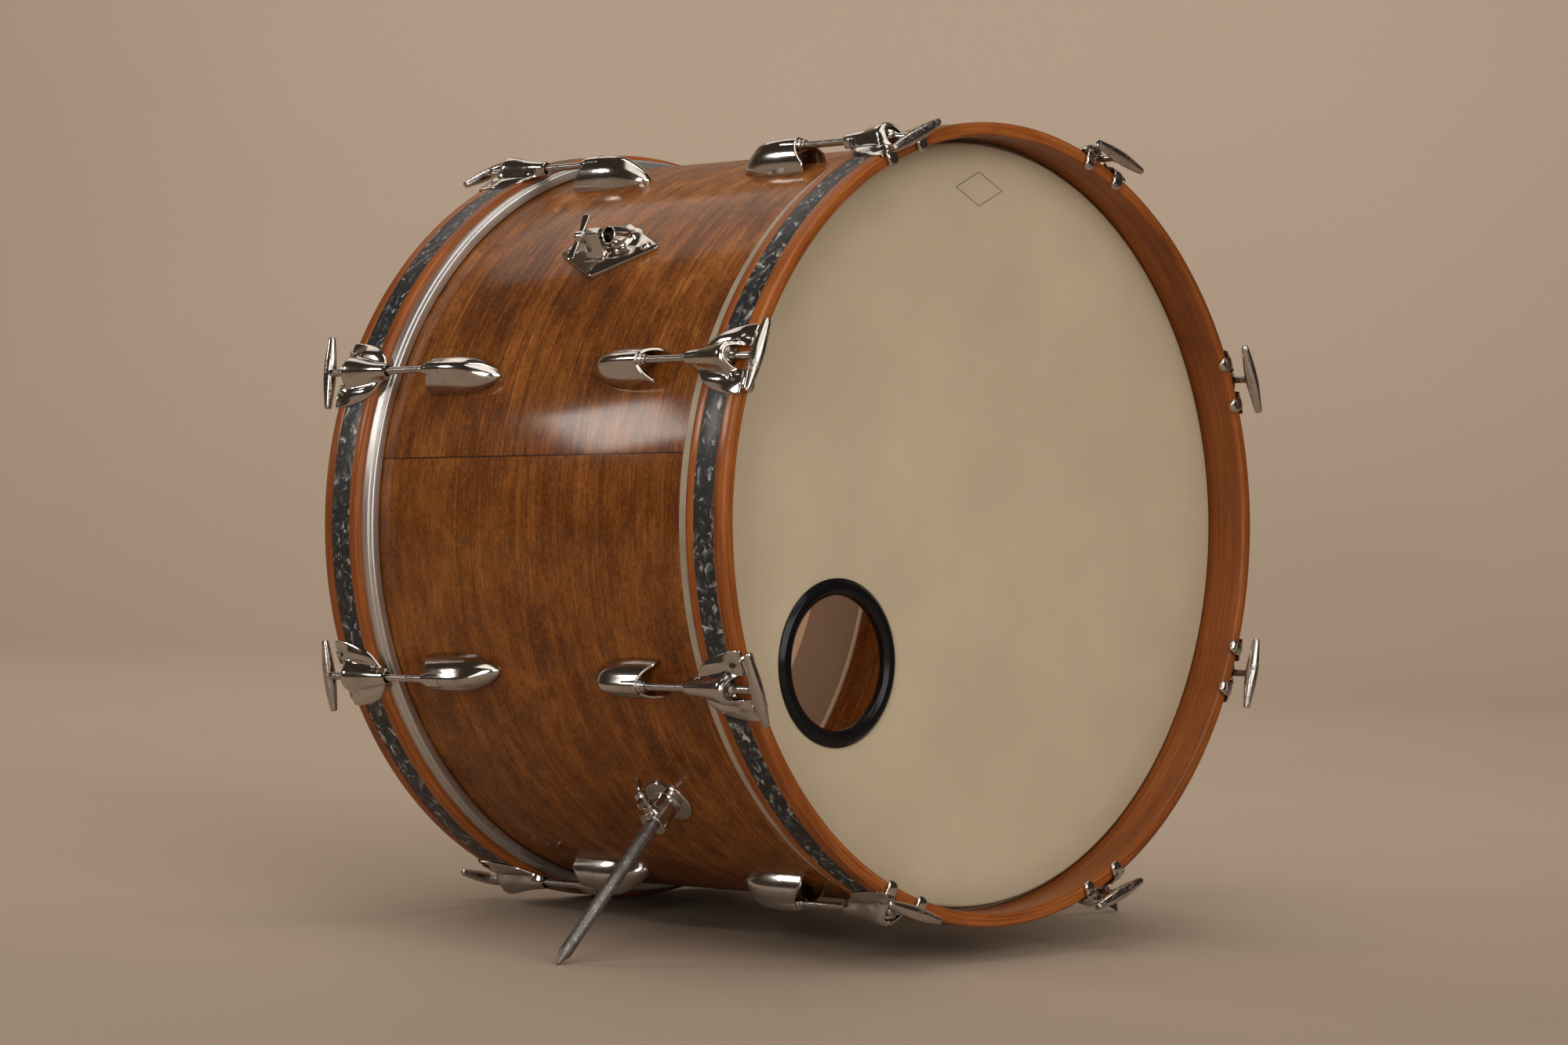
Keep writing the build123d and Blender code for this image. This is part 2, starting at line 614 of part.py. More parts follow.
with BuildPart(tom_seat) as tom_mount_screws:
    with Locations((TOM_SCREW_PLACE, 0, TOM_PLATE_TOP), (-TOM_SCREW_PLACE, 0, TOM_PLATE_TOP)):
        Cylinder(4.4, 2.6, align=(Align.CENTER, Align.CENTER, Align.MIN))
    fillet(tom_mount_screws.edges().filter_by(GeomType.CIRCLE), 1.25)
    with Locations((TOM_SCREW_PLACE, 0, TOM_PLATE_TOP + 1), (-TOM_SCREW_PLACE, 0, TOM_PLATE_TOP + 1)):
        Cylinder(2.2, 20, align=(Align.CENTER, Align.CENTER, Align.MAX))
    with Locations((TOM_SCREW_PLACE, 0, TOM_PLATE_TOP + 2.6), (-TOM_SCREW_PLACE, 0, TOM_PLATE_TOP + 2.6)):
        Box(1.1, 7.0, 2.2, mode=Mode.SUBTRACT)
write(tom_mount_screws, "tom_mount_screws")

with BuildPart(tom_seat) as tom_mount_nuts:
    nut_top = SHELL_INSIDE - 0.15
    with Locations((TOM_SCREW_PLACE, 0, nut_top), (-TOM_SCREW_PLACE, 0, nut_top)):
        Cylinder(6.5, 1.0, align=(Align.CENTER, Align.CENTER, Align.MAX))
        Cylinder(4.2, 4.2, align=(Align.CENTER, Align.CENTER, Align.MAX))
        Cylinder(2.25, 20, mode=Mode.SUBTRACT)
write(tom_mount_nuts, "tom_mount_nuts")

# The bolt's tip stops just short of the arm's bore.
tom_bolt_tip = TOM_MOUTH[0] - TOM_BORE - 0.4
tom_bolt_frame = Plane(tom_seat.location * Location((tom_bolt_tip, *TOM_BOLT), (0, -90, 0)))
with BuildPart(tom_bolt_frame) as tom_mount_wing_bolt:
    add(wing_bolt(tom_bolt_tip - TOM_BLOCK_BACK + 1.5, WING_SPAN["tom"], 73))
write(tom_mount_wing_bolt, "tom_mount_wing_bolt")


# ================= Spurs =================

for side, angle in SPUR_ANGLES.items():
    seat = seat_plane(angle, SPUR_DEPTH)
    upward = 1 if side == "left" else -1

    with BuildPart(seat) as spur_bracket:
        with BuildSketch(seat.offset(SHELL_RADIUS - 3)):
            Circle(SPUR_PLATE)
        extrude(amount=SPUR_PLATE_TOP - SHELL_RADIUS + 3)
        fillet(spur_bracket.edges().filter_by(GeomType.CIRCLE), 0.9)
        Cylinder(SHELL_RADIUS + 0.02, 6 * SPUR_PLATE, rotation=(0, 90, 0), mode=Mode.SUBTRACT)
        with BuildSketch(seat.offset(SPUR_PLATE_TOP - 1)):
            Circle(SPUR_TUBE)
        extrude(amount=SPUR_TUBE_END - SPUR_PLATE_TOP + 1)
        with BuildSketch(seat.offset(SPUR_STEM_END)):
            Circle(SPUR_STEM)
        extrude(amount=SPUR_PLATE_TOP - SPUR_STEM_END)
        with Locations(Location((0, 0, SPUR_BOLT_HEIGHT), (-90 * upward, 0, 0))):
            Cylinder(4.6, 14.5, align=(Align.CENTER, Align.CENTER, Align.MIN))
            Cylinder(
                BOLT_RADIUS + RUNNING_GAP,
                20,
                align=(Align.CENTER, Align.CENTER, Align.MIN),
                mode=Mode.SUBTRACT,
            )
        with BuildSketch(seat.offset(SPUR_STEM_END - 1)):
            Circle(SPUR_RADIUS + RUNNING_GAP)
        extrude(amount=60, mode=Mode.SUBTRACT)
    write(spur_bracket, f"{side}_spur_bracket")

    with BuildPart(seat) as spur_end_disc:
        with BuildSketch(seat.offset(SPUR_TUBE_END)):
            Circle(SPUR_DISC)
            Circle(SPUR_RADIUS + CLEARANCE, mode=Mode.SUBTRACT)
        extrude(amount=SPUR_DISC_THICKNESS)
    write(spur_end_disc, f"{side}_spur_end_disc")

    with BuildPart(seat) as spur_lock_nut:
        with BuildSketch(seat.offset(SPUR_STEM_END + 4)):
            RegularPolygon(13.0, 6, major_radius=False)
            Circle(SPUR_STEM + 0.1, mode=Mode.SUBTRACT)
        extrude(amount=6)
        with BuildSketch(seat.offset(SPUR_STEM_END + 10.2)):
            Circle(18)
            Circle(SPUR_STEM + 0.1, mode=Mode.SUBTRACT)
        extrude(amount=3.5)
    write(spur_lock_nut, f"{side}_spur_lock_nut")

    with BuildPart(seat) as spur_rod:
        with BuildSketch(seat.offset(SPUR_TAIL)):
            Circle(SPUR_RADIUS)
        extrude(amount=SPUR_TIP - SPUR_TAIL)
        chamfer(
            spur_rod.edges().filter_by(GeomType.CIRCLE).sort_by(Axis.Z)[:1],
            SPUR_POINT,
            SPUR_RADIUS - 0.25,
        )
    write(spur_rod, f"{side}_spur_rod")

    with BuildPart(seat) as spur_retainer:
        with BuildSketch(seat.offset(SPUR_TAIL + 3)):
            Circle(RETAINER_RADIUS)
            Circle(SPUR_RADIUS + 0.02, mode=Mode.SUBTRACT)
        extrude(amount=2.5)
    write(spur_retainer, f"{side}_spur_retaining_ring")

    tip = upward * (SPUR_RADIUS + CLEARANCE + 0.1)
    bolt_frame = Plane(seat.location * Location((0, tip, SPUR_BOLT_HEIGHT), (-90 * upward, 0, 0)))
    with BuildPart(bolt_frame) as spur_wing_bolt:
        add(wing_bolt(12.5, WING_SPAN["spur"], 127 if side == "left" else 53))
    write(spur_wing_bolt, f"{side}_spur_wing_bolt")


# ================= Vent =================

vent_seat = seat_plane(VENT_ANGLE, 0)
with BuildPart(vent_seat) as vent_grommet:
    with BuildSketch(vent_seat.offset(SHELL_INSIDE - 1.5)):
        Circle(VENT_RADIUS)
    extrude(amount=SHELL_WALL + 3)
    for low in (SHELL_INSIDE - 1.6, SHELL_RADIUS + 0.05):
        with BuildSketch(vent_seat.offset(low)):
            Circle(VENT_RADIUS + 3.5)
        extrude(amount=1.2)
    with BuildSketch(vent_seat.offset(SHELL_INSIDE - 3)):
        Circle(VENT_RADIUS - 1.2)
    extrude(amount=20, mode=Mode.SUBTRACT)
write(vent_grommet, "vent_grommet")
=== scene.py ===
import json
import math

import bmesh
import bpy
from mathutils import Matrix, Vector


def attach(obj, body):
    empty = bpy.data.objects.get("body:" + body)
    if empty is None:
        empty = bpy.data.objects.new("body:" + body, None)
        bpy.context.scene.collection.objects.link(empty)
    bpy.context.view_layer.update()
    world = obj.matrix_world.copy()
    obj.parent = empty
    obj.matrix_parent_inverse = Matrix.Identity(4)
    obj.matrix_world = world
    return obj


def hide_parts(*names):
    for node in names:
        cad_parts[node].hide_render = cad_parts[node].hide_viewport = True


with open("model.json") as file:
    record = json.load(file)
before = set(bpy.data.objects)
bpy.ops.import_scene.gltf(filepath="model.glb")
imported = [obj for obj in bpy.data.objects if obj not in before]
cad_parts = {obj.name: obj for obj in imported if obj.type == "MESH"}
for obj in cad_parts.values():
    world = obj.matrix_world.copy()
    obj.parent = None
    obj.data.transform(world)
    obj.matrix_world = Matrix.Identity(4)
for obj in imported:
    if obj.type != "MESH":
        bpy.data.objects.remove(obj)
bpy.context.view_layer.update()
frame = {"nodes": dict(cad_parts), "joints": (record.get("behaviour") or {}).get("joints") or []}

# ---- The drum's own frame, in millimetres: origin mid-shell, Y along the axis, Z up.
JOINTS = {joint["name"]: joint for joint in frame["joints"]}
BACK = Vector(JOINTS["batter_tension_rod_1_turn"]["axis"])
TILT = math.atan2(-BACK.z, BACK.y)
ROD_ENDS = [Vector(JOINTS[f"batter_tension_rod_{n}_turn"]["pos_m"]) for n in (1, 5)]
ROD_MIDDLE = (ROD_ENDS[0] + ROD_ENDS[1]) / 2
LIFT = ROD_MIDDLE.z + ROD_MIDDLE.y * math.tan(TILT)
STANCE = Matrix.Translation((0, 0, LIFT)) @ Matrix.Rotation(-TILT, 4, "X") @ Matrix.Scale(0.001, 4)
ENDS = {"resonant": -1, "batter": 1}
PLACES = [22.5 + 45 * k for k in range(8)]

SHELL_R = 279.4
SHELL_IN = 272.4
SHELL_HALF = 177.8
BEARING_EDGE = 276.8
FILM = 0.3
HOOP_OUT = 292.0
HOOP_IN = 281.6
END_FACE = 209.5
HOOP_BACK = 171.4
ROD_CIRCLE = 296.4
ROD_R = 2.75
HANDLE_Z = 223.3
HANDLE_HALF = 27.0
THREAD_PITCH = 1.06
THREAD_DEPTH = 0.2
# Where the claws' tabs hook over the hoop, either side of the rod.
TAB_OFFSET = 16.8
# The port's centre, X and Y in the front head's own frame, and its radius.
PORT_X, PORT_Z, PORT_R = -146.0, -98.4, 52.0
# The spurs' distance in front of mid-shell, and their wing bolts' distance from the drum's axis.
SPUR_FORWARD = 62.5
SPUR_BOLT_HIGH = 297.0
# The tom mount's angle round the shell, distance in front of mid-shell, and plate top from the axis.
TOM_ANGLE = 135.0
TOM_FORWARD = 1.0
TOM_PLATE_TOP = 282.6


def axes(x, y, z, origin=(0, 0, 0)):
    """Matrix whose columns are these directions."""
    return Matrix.Translation(origin) @ Matrix((x, y, z)).transposed().to_4x4()


def end_frame(end, angle=0.0):
    """X out of the drum at this angle, Y along the rim, Z out through the end."""
    side = -ENDS[end]
    a = math.radians(angle)
    out = Vector((side * math.cos(a), 0, math.sin(a)))
    z = Vector((0, ENDS[end], 0))
    return STANCE @ axes(out, z.cross(out), z)


def seat_frame(angle, depth):
    """Z out of the shell at this angle, X towards the resonant end."""
    a = math.radians(angle)
    z, x = Vector((math.cos(a), 0, math.sin(a))), Vector((0, -1, 0))
    return STANCE @ axes(x, z.cross(x), z, (0, -depth, 0))


# ---- Mesh building


class Form:
    """Points and faces collected for one piece, in millimetres."""

    def __init__(self):
        self.points = []
        self.faces = []

    def rows(self, rows, wrap=False, flip=False):
        """Quads between neighbouring rows of points; wrap joins each row's ends."""
        start, width = len(self.points), len(rows[0])
        for row in rows:
            self.points.extend(Vector(p) for p in row)
        for i in range(len(rows) - 1):
            for j in range(width if wrap else width - 1):
                k = (j + 1) % width
                a, b = start + i * width, start + (i + 1) * width
                face = (a + j, a + k, b + k, b + j)
                self.faces.append(face[::-1] if flip else face)
        return self

    def cap(self, ring, flip=False):
        start = len(self.points)
        self.points.extend(Vector(p) for p in ring)
        face = tuple(range(start, start + len(ring)))
        self.faces.append(face[::-1] if flip else face)
        return self

    def lathe(self, profile, place=Matrix(), segments=32):
        """Turns (radius, height) points about Z."""
        turns = [2 * math.pi * k / segments for k in range(segments)]
        rows = [[place @ Vector((r * math.cos(t), r * math.sin(t), h)) for t in turns] for r, h in profile]
        return self.rows(rows, wrap=True)

    def add(self, other, place=Matrix()):
        start = len(self.points)
        self.points.extend(place @ p for p in other.points)
        self.faces.extend(tuple(start + i for i in face) for face in other.faces)
        return self


def rounded(corners, steps=4):
    """Turns (x, y, radius) corners into a line with rounded corners."""
    line = []
    for i, (x, y, r) in enumerate(corners):
        if r <= 0 or i in (0, len(corners) - 1):
            line.append((x, y))
            continue
        here = Vector((x, y))
        before, after = Vector(corners[i - 1][:2]) - here, Vector(corners[i + 1][:2]) - here
        reach = r / math.tan(before.angle(after) / 2)
        reach = min(reach, 0.49 * before.length, 0.49 * after.length)
        start, end = here + before.normalized() * reach, here + after.normalized() * reach
        for k in range(steps + 1):
            t = k / steps
            line.append(tuple((1 - t) ** 2 * start + 2 * t * (1 - t) * here + t * t * end))
    return line


def make(name, form, place, body, material, nodes=(), angle=35, subdivide=0):
    """Builds the piece, with its points in the row frame."""
    mesh = bpy.data.meshes.new(name)
    mesh.from_pydata([place @ p for p in form.points], [], form.faces)
    work = bmesh.new()
    work.from_mesh(mesh)
    bmesh.ops.remove_doubles(work, verts=work.verts, dist=2e-6)
    bmesh.ops.dissolve_degenerate(work, edges=work.edges, dist=1e-6)
    bmesh.ops.recalc_face_normals(work, faces=work.faces)
    work.to_mesh(mesh)
    work.free()
    mesh.shade_smooth()
    mesh.set_sharp_from_angle(angle=math.radians(angle))
    obj = bpy.data.objects.new(name, mesh)
    bpy.context.scene.collection.objects.link(obj)
    mesh.materials.append(material)
    if subdivide:
        modifier = obj.modifiers.new("smooth", "SUBSURF")
        modifier.levels = modifier.render_levels = subdivide
    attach(obj, body)
    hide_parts(*nodes)
    return obj


def smoothstep(low, high, x):
    t = min(1.0, max(0.0, (x - low) / (high - low)))
    return t * t * (3 - 2 * t)


def squared(c, power):
    """A cosine or sine pushed outwards, which squares off a round section."""
    return math.copysign(abs(c) ** power, c)


def between(stations, x):
    """Value at x, in a straight line between the nearest (x, value) stations."""
    if x <= stations[0][0]:
        return stations[0][1]
    for (x0, v0), (x1, v1) in zip(stations, stations[1:]):
        if x <= x1:
            return v0 + (v1 - v0) * (x - x0) / (x1 - x0)
    return stations[-1][1]


# ---- Materials


class Nodes:
    """Short-hand for one material's nodes."""

    def __init__(self, name, **settings):
        self.material = bpy.data.materials.new(name)
        self.material.use_nodes = True
        self.tree = self.material.node_tree
        self.shader = self.tree.nodes["Principled BSDF"]
        for key, value in settings.items():
            self.put(self.shader.inputs[key.replace("_", " ")], value)

    def put(self, socket, value):
        if isinstance(value, bpy.types.NodeSocket):
            self.tree.links.new(value, socket)
        elif isinstance(value, tuple) and len(value) == 3 and socket.type == "RGBA":
            socket.default_value = (*value, 1.0)
        else:
            socket.default_value = value

    def set(self, **values):
        for key, value in values.items():
            self.put(self.shader.inputs[key.replace("_", " ")], value)

    def add(self, kind, inputs, out=0, **settings):
        node = self.tree.nodes.new("ShaderNode" + kind)
        for key, value in settings.items():
            setattr(node, key, value)
        for key, value in inputs.items():
            self.put(node.inputs[key], value)
        return node.outputs[out]

    def math(self, operation, a, b=0.0, clamp=False):
        return self.add("Math", {0: a, 1: b}, operation=operation, use_clamp=clamp)

    def noise(self, vector, scale=1.0, detail=4.0, roughness=0.5, distortion=0.0):
        inputs = {"Scale": scale, "Detail": detail, "Roughness": roughness, "Distortion": distortion}
        return self.add("TexNoise", {"Vector": vector, **inputs})

    def ramp(self, value, *stops):
        node = self.tree.nodes.new("ShaderNodeValToRGB")
        self.put(node.inputs[0], value)
        elements = node.color_ramp.elements
        while len(elements) < len(stops):
            elements.new(0.5)
        for element, (place, colour) in zip(elements, stops):
            element.position = place
            element.color = (*colour, 1.0) if isinstance(colour, tuple) else (colour,) * 3 + (1.0,)
        return node.outputs[0]

    def spread(self, value, low, high, to_low=0.0, to_high=1.0):
        inputs = {0: value, 1: low, 2: high, 3: to_low, 4: to_high}
        return self.add("MapRange", inputs, clamp=True)

    def mix(self, factor, a, b, blend="MIX"):
        return self.add("Mix", {0: factor, 6: a, 7: b}, out=2, data_type="RGBA", blend_type=blend)

    def drum_point(self):
        """Place in the drum's own frame, in metres."""
        here = self.add("TexCoord", {}, out=3)
        inputs = {"Vector": here, "Location": (0, 0, LIFT), "Rotation": (-TILT, 0, 0)}
        return self.add("Mapping", inputs, vector_type="TEXTURE")

    def round_the_drum(self, seam=170.0):
        """(metres along the rim from the seam, metres along the axis, radius)."""
        turned = self.add(
            "Mapping",
            {"Vector": self.drum_point(), "Rotation": (0, math.radians(seam - 180), 0)},
            vector_type="POINT",
        )
        split = self.tree.nodes.new("ShaderNodeSeparateXYZ")
        self.put(split.inputs[0], turned)
        x, y, z = split.outputs
        angle = self.math("ARCTAN2", z, x)
        radius = self.math("SQRT", self.math("ADD", self.math("MULTIPLY", x, x), self.math("MULTIPLY", z, z)))
        along = self.math("MULTIPLY", angle, SHELL_R * 0.001)
        return along, y, radius

    def stretch(self, x, y, z, sx, sy, sz=1.0):
        parts = {
            "X": self.math("MULTIPLY", x, sx),
            "Y": self.math("MULTIPLY", y, sy),
            "Z": self.math("MULTIPLY", z, sz) if not isinstance(z, float) else z,
        }
        return self.add("CombineXYZ", parts)

    def bump(self, height, distance, strength=1.0):
        inputs = {"Height": height, "Distance": distance, "Strength": strength}
        self.put(self.shader.inputs["Normal"], self.add("Bump", inputs))


# Each knot: metres back along the axis, metres below the seam, and its size.
KNOTS = ((-0.083, 0.047, 0.0085), (-0.004, 0.05, 0.0075), (0.074, 0.045, 0.0085))
# The veneer's other joint, half way round the drum, in metres along the rim.
SECOND_SEAM = 0.8777


def shell_wood():
    """Stained maple veneer, its grain running round the drum, under clear lacquer."""
    m = Nodes("shell_wood", Roughness=0.6, Specular_IOR_Level=0.08, Coat_Weight=0.34, Coat_Roughness=0.12)
    # Metres below the seam, and metres back along the axis.
    below, axial, _ = m.round_the_drum()
    wobble = m.noise(m.stretch(below, axial, 0.3, 9, 12), 1, 3, 0.5)
    knots = tails = None
    bent = axial
    for centre, drop, size in KNOTS:
        dx = m.math("SUBTRACT", axial, centre)
        dy = m.math("MULTIPLY", m.math("SUBTRACT", below, drop), 0.62)
        away = m.math("SQRT", m.math("ADD", m.math("MULTIPLY", dx, dx), m.math("MULTIPLY", dy, dy)))
        near = m.math("POWER", 2.718, m.math("MULTIPLY", m.math("MULTIPLY", away, away), -0.9 / size**2))
        # The grain bows round each knot.
        bent = m.math("SUBTRACT", bent, m.math("MULTIPLY", m.math("MULTIPLY", dx, near), 0.8))
        knots = near if knots is None else m.math("ADD", knots, near)
        # A dark band runs down from each knot.
        band = m.math("POWER", 2.718, m.math("MULTIPLY", m.math("MULTIPLY", dx, dx), -1 / 0.013**2))
        band = m.math("MULTIPLY", band, m.spread(below, drop - 0.01, drop + 0.012))
        band = m.math("MULTIPLY", band, m.spread(below, drop + 0.03, drop + 0.2, 1.0, 0.0))
        tails = band if tails is None else m.math("ADD", tails, band)
    figure = m.noise(m.stretch(below, bent, 1.7, 13, 75), 1, 6, 0.66, 0.8)
    streak = m.noise(m.stretch(below, bent, 2.1, 5, 330), 1, 4, 0.65, 0.15)
    cloud = m.noise(m.stretch(below, axial, 4.3, 14, 19), 1, 5, 0.62, 0.5)
    fibre = m.noise(m.stretch(below, bent, 4.0, 42, 900), 1, 3, 0.65)
    pores = m.noise(m.stretch(below, bent, 6.0, 190, 3600), 1, 2, 0.5)
    fleck = m.noise(m.stretch(below, bent, 7.0, 240, 640), 1, 3, 0.72)
    mottle = m.noise(m.stretch(below, axial, 5.5, 48, 95), 1, 4, 0.65, 0.4)
    under = m.spread(below, -0.002, 0.004)
    tone = m.math("ADD", m.math("MULTIPLY", cloud, 0.42), m.math("MULTIPLY", figure, 0.26))
    tone = m.math("ADD", tone, m.math("MULTIPLY", streak, 0.32))
    # Above the seam the figure is fainter and lighter.
    tone = m.math("MULTIPLY", m.math("SUBTRACT", tone, 0.5), m.spread(under, 0, 1, 1.25, 1.7))
    tone = m.math("ADD", tone, 0.5)
    colour = m.ramp(
        tone,
        (0.34, (0.075, 0.019, 0.0025)),
        (0.45, (0.165, 0.048, 0.0065)),
        (0.54, (0.25, 0.079, 0.0125)),
        (0.66, (0.38, 0.136, 0.029)),
    )
    dark = m.noise(m.stretch(below, bent, 9.1, 4.5, 95), 1, 3, 0.7, 0.5)
    fade = m.math("MULTIPLY", under, m.spread(below, 0.03, 0.5, 0.62, 0.2))
    colour = m.mix(m.math("MULTIPLY", m.spread(dark, 0.54, 0.68), fade), colour, (0.045, 0.011, 0.002))
    tails = m.math("MULTIPLY", tails, m.spread(m.math("ADD", dark, streak), 0.75, 1.1, 0.1, 0.8))
    colour = m.mix(tails, colour, (0.045, 0.012, 0.002))
    colour = m.mix(m.spread(fibre, 0.46, 0.7, 0.0, 0.4), colour, (0.085, 0.024, 0.005))
    colour = m.mix(m.spread(mottle, 0.46, 0.62, 0.0, 0.5), colour, (0.07, 0.019, 0.003))
    colour = m.mix(m.spread(fleck, 0.5, 0.66, 0.0, 0.45), colour, (0.06, 0.017, 0.003))
    colour = m.mix(m.spread(fleck, 0.5, 0.34, 0.0, 0.18), colour, (0.5, 0.22, 0.06))
    colour = m.mix(m.spread(pores, 0.66, 0.75, 0.0, 0.5), colour, (0.03, 0.009, 0.003))
    eye = m.math("MULTIPLY", m.spread(knots, 0.2, 0.9), m.spread(m.math("ADD", wobble, knots), 0.8, 1.3))
    colour = m.mix(m.math("MULTIPLY", eye, 0.85), colour, (0.028, 0.008, 0.003))
    # Painted shade: a darker band below the seam, on the lower side of the shell where less light falls.
    painted_shade = m.math("MULTIPLY", m.spread(below, 0.0, 0.1, 0.0, 0.3), m.spread(below, 0.16, 0.36, 1.0, 0.0))
    colour = m.mix(painted_shade, colour, (0.09, 0.026, 0.003))
    lap = m.math("ABSOLUTE", m.math("SUBTRACT", m.math("ABSOLUTE", below), SECOND_SEAM))
    nearest = m.math("MINIMUM", lap, m.math("ABSOLUTE", below))
    seam = m.spread(nearest, 0.0002, 0.0009, 0.85, 0.0)
    colour = m.mix(seam, colour, (0.018, 0.006, 0.002))
    m.set(Base_Color=colour)
    ripple = m.noise(m.drum_point(), 60, 2, 0.5)
    peel = m.noise(m.stretch(below, axial, 8.0, 160, 420), 1, 3, 0.6)
    height = m.math("ADD", m.math("MULTIPLY", peel, 0.35), ripple)
    height = m.math("SUBTRACT", height, m.math("MULTIPLY", fleck, 0.28))
    height = m.math("SUBTRACT", height, m.math("MULTIPLY", pores, 0.3))
    height = m.math("ADD", height, m.math("MULTIPLY", under, 1.0))
    m.bump(height, 0.0006, 0.35)
    return m.material


def hoop_wood():
    m = Nodes("hoop_wood", Roughness=0.5, Specular_IOR_Level=0.16, Coat_Weight=0.24, Coat_Roughness=0.16)
    along, axial, radius = m.round_the_drum(100)
    across = m.math("ADD", axial, m.math("MULTIPLY", radius, 1.3))
    cloud = m.noise(m.stretch(along, across, 0.9, 8, 40), 1, 4, 0.6, 0.5)
    streak = m.noise(m.stretch(along, across, 3.1, 7, 420), 1, 4, 0.6, 0.3)
    fibre = m.noise(m.stretch(along, across, 5.0, 60, 2200), 1, 3, 0.6)
    tone = m.math("ADD", m.math("MULTIPLY", cloud, 0.5), m.math("MULTIPLY", streak, 0.5))
    colour = m.ramp(
        tone,
        (0.34, (0.1, 0.026, 0.005)),
        (0.46, (0.23, 0.061, 0.0095)),
        (0.55, (0.33, 0.095, 0.0165)),
        (0.68, (0.47, 0.165, 0.038)),
    )
    colour = m.mix(m.spread(fibre, 0.42, 0.7, 0.0, 0.5), colour, (0.1, 0.027, 0.007))
    # Painted shade: darker and redder on the hoop's inner face, which faces into the recess over the head.
    inside = m.spread(radius, 0.2822, 0.2832, 1.0, 0.0)
    colour = m.mix(m.math("MULTIPLY", inside, 0.5), colour, (0.16, 0.045, 0.013))
    dirt = m.noise(m.drum_point(), 14, 5, 0.65)
    colour = m.mix(m.spread(dirt, 0.55, 0.75, 0.0, 0.3), colour, (0.06, 0.018, 0.006))
    m.set(Base_Color=colour)
    m.bump(m.math("ADD", fibre, m.noise(m.drum_point(), 90, 2)), 0.0004, 0.3)
    return m.material


def pearl():
    """Black pearl sheet: curved chips, each shaded from dark to pale its own way."""
    m = Nodes("black_pearl", Roughness=0.5, Coat_Weight=0.12, Coat_Roughness=0.16)
    along, axial, _ = m.round_the_drum(80)
    place = m.stretch(along, axial, 0.0, 1, 1.25)
    shades = []
    for scale, shift, gain in ((105.0, 0.0, 250.0), (175.0, 5.0, 400.0)):
        drift = m.add("TexNoise", {"Vector": place, "Scale": scale * 0.45, "Detail": 2.0}, out=1)
        bent = m.add("Mix", {0: 0.984, 4: drift, 5: place}, out=1, data_type="VECTOR")
        bent = m.add("Mapping", {"Vector": bent, "Location": (shift, shift, 0)})
        chips = m.tree.nodes.new("ShaderNodeTexVoronoi")
        m.put(chips.inputs["Vector"], bent)
        m.put(chips.inputs["Scale"], scale)
        offset = m.add("VectorMath", {0: bent, 1: chips.outputs["Position"]}, operation="SUBTRACT")
        way = m.add("VectorMath", {0: chips.outputs["Color"], 1: (0.5, 0.5, 0.5)}, operation="SUBTRACT")
        slope = m.add("VectorMath", {0: offset, 1: way}, out=1, operation="DOT_PRODUCT")
        shades.append(m.math("MULTIPLY", slope, gain))
    fibre = m.math("SUBTRACT", m.noise(place, 900, 3, 0.6, 1.0), 0.5)
    light = m.math("ADD", m.math("MAXIMUM", shades[0], shades[1]), m.math("MULTIPLY", fibre, 0.9))
    colour = m.ramp(
        light,
        (0.05, (0.005, 0.0055, 0.0065)),
        (0.3, (0.016, 0.017, 0.019)),
        (0.55, (0.09, 0.093, 0.093)),
        (0.9, (0.42, 0.42, 0.4)),
    )
    m.set(Base_Color=colour)
    return m.material


def film(name, colour, rough, marked=False, through=0.85):
    m = Nodes(name, Roughness=rough, Specular_IOR_Level=0.35)
    place = m.drum_point()
    split = m.tree.nodes.new("ShaderNodeSeparateXYZ")
    m.put(split.inputs[0], place)
    x, _, z = split.outputs
    mottle = m.noise(place, 9, 4, 0.6)
    speck = m.noise(place, 900, 2, 0.5)
    darker = tuple(c * 0.9 for c in colour)
    tone = m.mix(m.spread(mottle, 0.35, 0.65), colour, darker)
    tone = m.mix(m.spread(speck, 0.6, 0.7, 0.0, 0.1), tone, tuple(c * 0.7 for c in colour))
    radius = m.math("SQRT", m.math("ADD", m.math("MULTIPLY", x, x), m.math("MULTIPLY", z, z)))
    # Painted shade: the film darkens towards the rim, in the corner where the hoop stands over it.
    tone = m.mix(m.spread(radius, 0.255, 0.28, 0.0, 0.3), tone, tuple(c * 0.75 for c in colour))
    if marked:
        # A plain printed diamond near the top.
        across = m.math("DIVIDE", m.math("ABSOLUTE", m.math("SUBTRACT", x, 0.006)), 0.0255)
        up = m.math("DIVIDE", m.math("ABSOLUTE", m.math("SUBTRACT", z, 0.246)), 0.0125)
        edge = m.math("ABSOLUTE", m.math("SUBTRACT", m.math("ADD", across, up), 1.0))
        tone = m.mix(m.spread(edge, 0.022, 0.034, 0.85, 0.0), tone, (0.02, 0.018, 0.014))
    m.set(Base_Color=tone, Subsurface_Weight=through, Subsurface_Radius=(0.02, 0.018, 0.015))
    m.bump(m.math("ADD", speck, m.math("MULTIPLY", mottle, 3.0)), 0.0001, 0.4)
    return m.material


